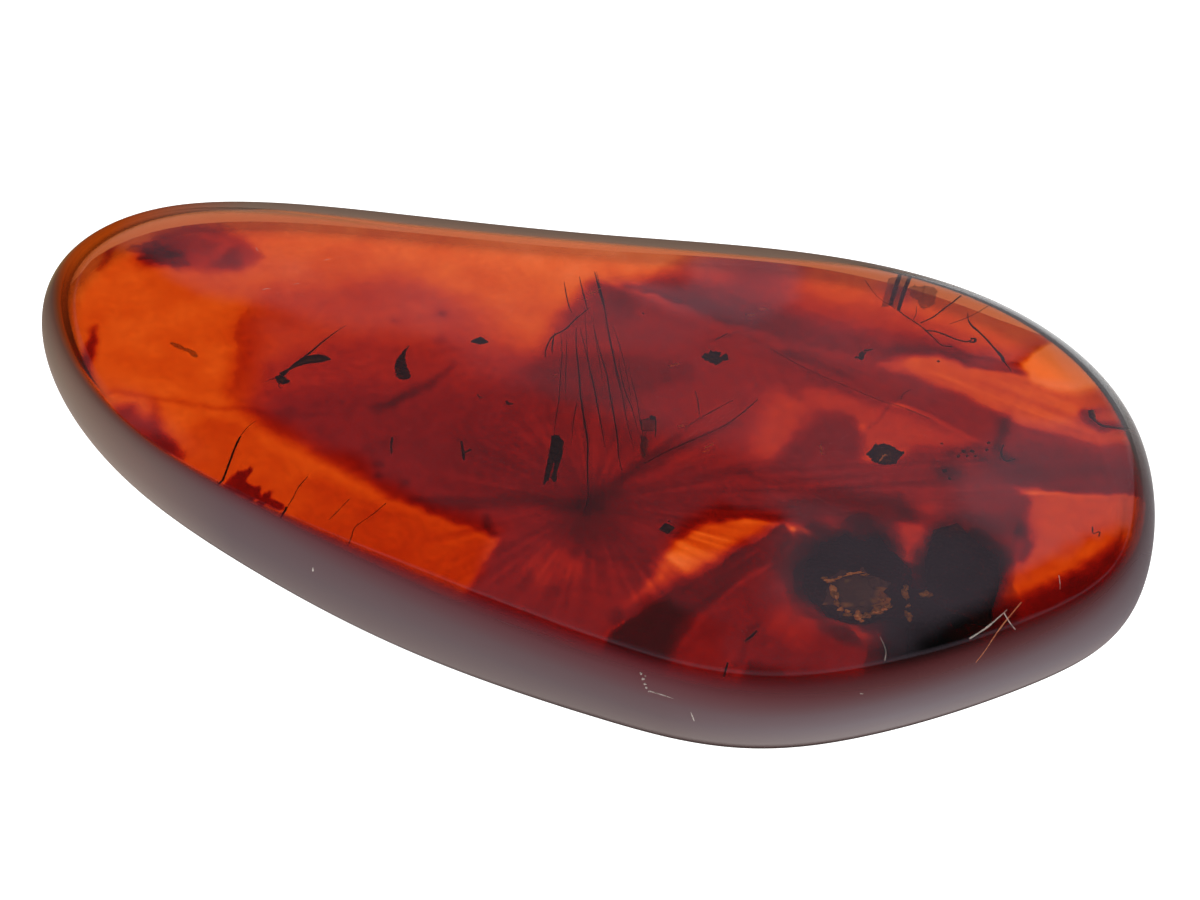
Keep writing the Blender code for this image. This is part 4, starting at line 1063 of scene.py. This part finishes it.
def splinters(wood, film, dust):
    """Blackened splinters, husks and chips of bud scale, flat as they fell on the sticky face."""
    caught("charred_splinter", "wood", wood, (
        plate([(-0.51, -1.97), (-0.37, -1.81), (-0.2, -1.79), (0.14, -2.07), (0.25, -2.4), (0.53, -3.25),
        (0.7, -4.04),
               (0.94, -4.63), (0.85, -4.72), (0.67, -4.6), (0.36, -3.5), (0.31, -3.52), (0.56, -4.66),
               (0.52, -5.08), (0.35, -4.61),
               (-0.05, -3.29), (-0.38, -2.25)], thick=0.3, ragged=0.018, seed=100),
    ), "wood_splinter")
    caught("curled_husk", "chitin", film, (
        plate([(-9.16, 0.53), (-8.93, 0.48), (-8.64, -0.02), (-8.16, -0.6), (-8.1, -0.8), (-8.3, -0.96),
        (-8.57, -1.01),
               (-8.82, -0.69), (-9.02, -0.39), (-9.18, 0.05)], thick=0.3, ragged=0.02, seed=101),
        thread([(-9, 0.4, 0.12), (-9.12, 0.8, 0.08), (-9.1, 1.3, 0.02)], flat=0.5, rough=0.2, seed=102),
    ), "seed_husk")
    caught("bud_scale", "wood", wood, (
        plate([(3.38, 5.97), (3.45, 6.3), (3.6, 6.26), (3.59, 6.56), (3.72, 6.47), (3.82, 6.61),
        (4.08, 6.58), (4.14, 6.3),
               (4.23, 6.45), (4.31, 6.62), (4.48, 6.51), (4.56, 6.25), (4.37, 6.11), (4.34, 5.9),
               (4.23, 5.71), (4.02, 5.76),
               (3.69, 5.81)], thick=0.16, ragged=0.02, seed=103),
    ), "flake_1")
    caught("pin_head", "wood", wood, (
        lens((3.1, 1.08, BED + 0.05), (0.3, 0.26, 0.2), 20, 0.15, 104),
        thread([(2.72, 0.78, 0.02), (3.05, 1, 0.04), (3.25, 1.02, 0.05), (3.5, 0.5, 0.03),
        (3.75, -0.1, 0.015)], rough=0.3, seed=105),
        thread([(2.7, 0.75, 0.03), (2.85, 0.4, 0.03), (3.05, 0.1, 0.03), (3.5, 0.3, 0.02)], rough=0.3,
        seed=106),
    ), "flake_4")
    caught("twig_pith", "wood", dust, (
        thread([(3.28, -0.3, 0.12), (3.45, -0.7, 0.15), (3.65, -1.2, 0.12), (3.85, -1.6, 0.06)], rough=0.15,
        seed=107),
    ), "twig_stub")
    caught("fir_needle", "wood", wood, (
        thread([(-4.05, -3.9, 0.04), (-3.75, -4.4, 0.07), (-3.4, -5, 0.05)], rough=0.2, seed=108),
        thread([(-3.42, -4.2, 0.05), (-3.6, -4.55, 0.05)], rough=0.2, seed=109),
    ), "twig_bit")
    caught("dust_string", "wood", dust, (
        thread([(-19.15, -2.95, 0.06), (-18.75, -3.02, 0.15), (-18.4, -3.1, 0.12), (-18.05, -3.12, 0.11),
        (-17.75, -3.28, 0.14),
                (-17.6, -3.4, 0.06)], flat=0.5, rough=0.35, seed=110),
    ), "dust_blob")
    crumbs = []
    random = np.random.default_rng(111)
    for x, y, size in ((16.7, 4.6, 0.26), (17.05, 4.75, 0.2), (17.3, 4.5, 0.18), (16.6, 4.2, 0.22),
            (16.95, 4.35, 0.16), (17.6, 5.1, 0.14),
                       (16.4, 3, 0.2), (16.8, 2.6, 0.18), (17.5, 5.6, 0.16), (15.6, 4.7, 0.14),
                       (6.6, -5.1, 0.12), (-0.3, 7.8, 0.14)):
        crumbs.append(lens((x, y, BED), size * random.uniform(0.6, 1.2, 3), random.uniform(0, 180), 0.3,
            int(x * 10) + 200, 10, 7))
    caught("frass_crumbs", "bark", wood, crumbs, "frass_blob")


def cracks(look):
    """Fine dark cracks that run in from the near edge."""
    runs = (
        ((-13.22, -7.55, 0.02), (-13.2, -7.8, 0.045), (-13.07, -8.49, 0.05), (-12.84, -9.48, 0.05),
        (-12.6, -10.47, 0.05), (-12.5, -10.9, 0.03)),
        ((-13.23, -7.5, 0.015), (-13.23, -6.9, 0.015), (-13.1, -6.4, 0.01)),
        ((-9.18, -11.1, 0.05), (-9.08, -11.4, 0.06), (-8.94, -11.87, 0.05)),
        ((12.9, -10.2, 0.05), (12.82, -10.6, 0.065), (12.7, -11, 0.04)),
        ((12.5, -12.4, 0.04), (12.6, -13, 0.045)),
    )
    return caught("edge_cracks", "wood", look, [thread(rows, flat=1.6, rough=0.15, seed=120 + i)
        for i, rows in enumerate(runs)])


def bark_bits(gold, olive, stain, halo):
    """Gold-brown corky bits that stand round the crumb, and the stain that the bark let out."""
    level = 3.34
    bright = (
        (14.7, -6.25, 0.42, 0.26, 30), (15.0, -6.7, 0.5, 0.26, 118), (15.4, -5.42, 0.8, 0.15, 40),
        (15.78, -7.75, 0.3, 0.22, 60),
        (16.15, -7.8, 0.26, 0.18, 10), (16.62, -7.85, 0.5, 0.32, 125), (16.9, -8.1, 0.24, 0.16, 30),
        (17.5, -7.0, 0.42, 0.22, 60),
        (15.35, -7.15, 0.26, 0.16, 120), (14.95, -5.95, 0.4, 0.12, 60), (17.3, -7.35, 0.3, 0.18, 40),
    )
    dull = (
        (14.45, -6.2, 0.3, 0.26, 30), (15.2, -7.0, 0.5, 0.3, 120), (15.5, -7.5, 0.36, 0.26, 120),
        (17.25, -7.2, 0.66, 0.46, 70),
        (17.6, -6.75, 0.4, 0.28, 80), (17.0, -7.65, 0.5, 0.32, 60), (17.2, -6.45, 0.3, 0.2, 50),
        (18.0, -5.75, 0.6, 0.28, 130),
        (17.85, -5.35, 0.36, 0.2, 130), (18.8, -5.4, 0.5, 0.4, 40), (18.65, -7.0, 0.6, 0.3, 130),
        (18.35, -6.4, 0.3, 0.2, 90),
        (15.9, -5.3, 0.4, 0.14, 30), (16.2, -8.0, 0.4, 0.2, 20),
    )
    for name, spots, look in (("cork_bits", bright, gold), ("olive_cork_bits", dull, olive)):
        bits = [
            lens((x, y, level - 0.03 * (n % 4)), (long, wide, 0.18), turn, 0.6, 140 + n, 14, 9)
            for n, (x, y, long, wide, turn) in enumerate(spots)
        ]
        caught(name, "brown_bark", look, bits)
    cloud = (
        ((15, -4.6, 1.6), (5.2, 5.8, 2.2), 24), ((19.3, -3.0, 1.6), (4.0, 7.0, 2.2), 14),
        ((17.4, -5.4, 1.6), (4.4, 3, 1.8), 20),
        ((19.5, -7.3, 1.7), (3.6, 4.4, 2.4), 0),
    )
    caught("bark_stain", "bark", stain, [lens(centre, size, turn, 0.18, 160 + n, 40, 22)
        for n, (centre, size, turn) in enumerate(cloud)])
    fringe = (
        ((14.8, -4.7, 1.7), (6.2, 7.2, 2.6), 24), ((19.5, -3.6, 1.7), (5.2, 8.2, 2.6), 14),
        ((17.4, -6.4, 1.6), (6, 4.2, 2.4), 20),
        ((19.4, -7.6, 1.9), (6.0, 5.4, 2.8), 0),
    )
    caught("bark_stain_fringe", "bark", halo, [lens(centre, size, turn, 0.22, 165 + n, 40, 22)
        for n, (centre, size, turn) in enumerate(fringe)])
    dust = (
        ((-23.1, 3.3, 1.6), (2.8, 1.4, 1.5), 14), ((-21.9, 2.95, 1.5), (1.2, 0.8, 0.9), 10),
        ((-22.2, 4.4, 1.5), (3.2, 1.3, 0.5), 12),
        ((-19.7, 4.2, 1.5), (1.4, 1.7, 0.4), 0),
    )
    caught("bark_dust", "bark", stain, [lens(centre, size, turn, 0.4, 170 + n, 36, 20)
        for n, (centre, size, turn) in enumerate(dust)], "bark_clot")


def painted_glints(look):
    """Torn fibres and grains of cork, with a painted glint: a bright gold colour that stands in for the light
    they catch.
    """
    runs = (
        (0.03, (4.12, 9.55), (4.45, 9.75)), (0.025, (4.45, 10.2), (4.82, 10.36)),
        (0.035, (2.35, 4.72), (2.68, 5.08)),
        (0.04, (4.4, 0.98), (4.6, 1.12)), (0.035, (6.08, 0.08), (6.32, 0.52)),
        (0.03, (6.12, -0.22), (6.3, 0.02)),
        (0.035, (10.72, 2.32), (10.9, 2.05)), (0.03, (10.88, 1.95), (11.02, 1.82)),
        (0.018, (-3.15, 8.0), (-2.8, 8.65)),
        (0.018, (-3.5, 7.4), (-3.05, 7.65)), (0.016, (-3.25, 8.3), (-2.95, 8.05)),
        (0.02, (-2.2, 1.9), (-2.05, 2.1)),
    )
    parts = [
        thread([(x, y, half) for x, y in (start, ((start[0] + end[0]) / 2 + 0.02, (start[1] + end[1]) / 2),
        end)],
               level=BED + 0.1, sides=6, rough=0.3, seed=200 + n)
        for n, (half, start, end) in enumerate(runs)
    ]
    caught("golden_fibres_with_painted_glint", "brown_bark", look, parts)


def marks_on_face(name, look, runs, seed):
    """Threads on the outside of the slab, each row x, y, z and half width, flattened on the face."""
    parts = []
    for n, rows in enumerate(runs):
        line = open_curve(rows)
        points, faces = thread([(x, y, half) for x, y, _, half in rows], level=0.0, sides=6, flat=0.35,
            rough=0.3, seed=seed + n)
        points[:, 2] += np.repeat(line[:, 2], 6)
        parts.append((points, faces))
    piece(name, *joined(*parts), look)


def surface_marks(pale, warm):
    """Scratches, chips and lint on the outside: some bruised pale, one stained warm, all barely proud."""
    marks_on_face("surface_marks", pale, (
        ((21.69, -7.71, 4.25, 0.04), (22.1, -6.9, 4.32, 0.045), (22.35, -6.2, 4.38, 0.03),
        (22.55, -5.5, 4.41, 0.015)),
        ((22.5, -5.74, 4.4, 0.03), (22.9, -6.1, 4.3, 0.025), (23.24, -6.29, 4.17, 0.02)),
        ((12.2, -15.68, 3.15, 0.03), (12.3, -15.74, 3.0, 0.05), (12.4, -15.78, 2.8, 0.04)),
        ((10.22, -15.57, 3.53, 0.04), (10.98, -15.56, 3.51, 0.03), (11.74, -15.5, 3.43, 0.02)),
        ((-6.48, -13.88, 3.26, 0.03), (-6.49, -13.95, 3.1, 0.05), (-6.49, -13.97, 3.02, 0.03)),
        ((18.5, -12.25, 3.7, 0.05), (18.65, -12.2, 3.68, 0.04)),
        ((18.2, -9.3, 4.41, 0.006), (18.75, -10.0, 4.4, 0.01), (18.95, -10.6, 4.37, 0.014)),
        ((23.8, -2.5, 4.41, 0.015), (24.0, -2.9, 4.4, 0.02), (24.15, -3.3, 4.37, 0.015)),
        ((-16.55, 1.3, 4.41, 0.005), (-16.4, 1.45, 4.41, 0.012), (-16.2, 1.5, 4.41, 0.005)),
        ((-15.45, 2.2, 4.41, 0.005), (-15.3, 2.35, 4.41, 0.011), (-15.2, 2.4, 4.41, 0.005)),
        ((-14.95, 4.4, 4.41, 0.005), (-14.8, 4.55, 4.41, 0.01), (-14.7, 4.6, 4.41, 0.005)),
        ((-18.25, 4.0, 4.41, 0.006), (-18.15, 3.9, 4.41, 0.012), (-18.05, 3.8, 4.41, 0.006)),
    ), 180)
    marks_on_face("warm_scratch", warm, (
        ((22.3, -8.5, 3.75, 0.016), (22.44, -7.92, 3.93, 0.022), (22.65, -6.56, 4.27, 0.028),
        (22.94, -4.8, 4.42, 0.026)),
    ), 195)
    spots = (
        (9.62, -15.1, 3.93, 0.1, 0.22, 20), (9.8, -15.28, 3.82, 0.16, 0.14, 60),
        (9.95, -15.42, 3.7, 0.12, 0.12, 0),
        (10.05, -15.5, 3.6, 0.18, 0.1, 120), (9.7, -15.3, 3.75, 0.07, 0.07, 0),
        (10.2, -15.58, 3.5, 0.08, 0.06, 30),
        (9.85, -15.16, 3.9, 0.06, 0.05, 0),
    )
    chip = [lens((x, y, z), (long, wide, 0.06), turn, 0.5, 210 + n, 10, 7)
        for n, (x, y, z, long, wide, turn) in enumerate(spots)]
    piece("chipped_spot", *joined(*chip), pale)


# --- the studio ----------------------------------------------------------------------------------------


def studio():
    """A glowing white table, and a soft surround, dark behind the slab and bright beside the camera."""
    side, level = 2.0, -0.00005
    corners = [(-side, -side, level), (side, -side, level), (side, side, level), (-side, side, level)]
    mesh = bpy.data.meshes.new("table")
    mesh.from_pydata(corners, [], [(0, 1, 2, 3)])
    table = bpy.data.objects.new("table", mesh)
    bpy.context.scene.collection.objects.link(table)
    look, tree = material("light_table")
    glow = node(tree, "ShaderNodeEmission", {"Color": linear("#ffffff"), "Strength": TABLE_GLOW})
    node(tree, "ShaderNodeOutputMaterial", {"Surface": glow.outputs[0]})
    mesh.materials.append(look)

    world = bpy.data.worlds.new("studio")
    world.use_nodes = True
    tree = world.node_tree
    tree.nodes.clear()
    turn = math.radians(VIEW_TURN)
    way = node(tree, "ShaderNodeTexCoord").outputs["Generated"]
    front = node(tree, "ShaderNodeVectorMath", {0: way, 1: (math.sin(turn), -math.cos(turn), 0)},
        operation="DOT_PRODUCT")
    front_glow = node(tree, "ShaderNodeMapRange", {
        "Value": front.outputs["Value"], "From Min": -0.35, "From Max": 1.0, "To Min": 0.04, "To Max": 2.2,
    }, interpolation_type="SMOOTHSTEP")
    height = node(tree, "ShaderNodeSeparateXYZ", {0: way}).outputs["Z"]
    low_glow = node(tree, "ShaderNodeMapRange", {
        "Value": height, "From Min": 0.05, "From Max": 0.5, "To Min": 0.7, "To Max": 0.0,
    }, interpolation_type="SMOOTHSTEP")
    total = node(tree, "ShaderNodeMath", {0: front_glow.outputs[0], 1: low_glow.outputs[0]},
        operation="MAXIMUM")
    back = node(tree, "ShaderNodeBackground", {"Color": linear("#ffffff"), "Strength": total.outputs[0]})
    node(tree, "ShaderNodeOutputWorld", {"Surface": back.outputs[0]})
    bpy.context.scene.world = world


def camera():
    turn, height = math.radians(VIEW_TURN), math.radians(VIEW_HEIGHT)
    back = np.array((math.sin(turn) * math.cos(height), -math.cos(turn) * math.cos(height),
        math.sin(height)))
    data = bpy.data.cameras.new("camera")
    data.sensor_width = SENSOR
    data.lens = PIXELS_PER_MM * VIEW_DISTANCE / FRAME_WIDTH * SENSOR
    data.clip_start = 0.01
    made = bpy.data.objects.new("camera", data)
    made.location = (np.array(VIEW_CENTRE) + back * VIEW_DISTANCE) * MM
    made.rotation_euler = (math.radians(90) - height, 0, turn)
    bpy.context.scene.collection.objects.link(made)
    bpy.context.scene.camera = made


def inclusions():
    chitin = husk_like("insect_chitin", "#17110f", "#41302a", 0.35, 1.5, 0.35, specular=0.5, bump=0.4)
    wood = husk_like("charred_wood", "#1a1714", "#463a30", 0.22, 2.5, 0.7, specular=0.3, bump=0.5)
    hair = husk_like("dried_plant_hair", "#2a1520", "#4a2a2c", 0.5, 3.0, 0.5, specular=0.3, bump=0.1)
    film = husk_like("dried_brown_matter", "#2c1c1e", "#533430", 0.3, 2.0, 0.6, specular=0.3, bump=0.3,
        alpha=0.85)
    bark = husk_like("blackened_bark", "#34302c", "#86745c", 0.5, 1.6, 0.9, specular=0.2, bump=0.8)
    gold = husk_like("gold_cork", "#dca23c", "#fff0b4", 0.14, 1.0, 0.8, specular=0.3, bump=0.6)
    insects(chitin, film)
    plant_hairs(hair)
    beams(film)
    far_end_bits(wood, film)
    splinters(wood, film, husk_like("matted_dust", "#5e3020", "#8c5434", 0.12, 2.0, 0.8, specular=0.1,
        alpha=0.34))
    cracks(husk_like("open_crack", "#0c0606", "#1c0c0a", 0.3, 1.0, 0.3))
    bark_bits(gold, husk_like("olive_cork", "#86702e", "#c4ac5e", 0.14, 1.0, 0.85, specular=0.3, bump=0.6),
              stain_look("tannin_stain", 0.9, 1.5, 1.9), stain_look("tannin_fringe", 0.6, 0.95, 1.1))
    # Bright gold fibres: their colour is a painted glint
    painted_glints(husk_like("golden_fibre_painted_glint", "#f0a040", "#ffe2a0", 0.1, 1.0, 0.4))
    surface_marks(husk_like("bruised_amber", "#a8988c", "#f0e8e0", 0.08, 1.0, 0.6, alpha=0.42),
                  husk_like("stained_scratch", "#a05030", "#d08860", 0.1, 1.0, 0.6, alpha=0.8))
    looks = {"bark_mass": bark, "bark_crumb": crumb_look()}
    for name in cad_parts:
        if not name.startswith("amber"):
            bpy.data.objects[name].material_slots[0].link = "OBJECT"
            bpy.data.objects[name].material_slots[0].material = looks.get(name, wood)


amber_slab(amber_look())
skin(skin_look())
sheet("resin_flows", 1.0, resin_flow_look(), 0.25, murk=resin_murk)
inclusions()
studio()
camera()
bpy.context.scene.view_settings.view_transform = "Standard"
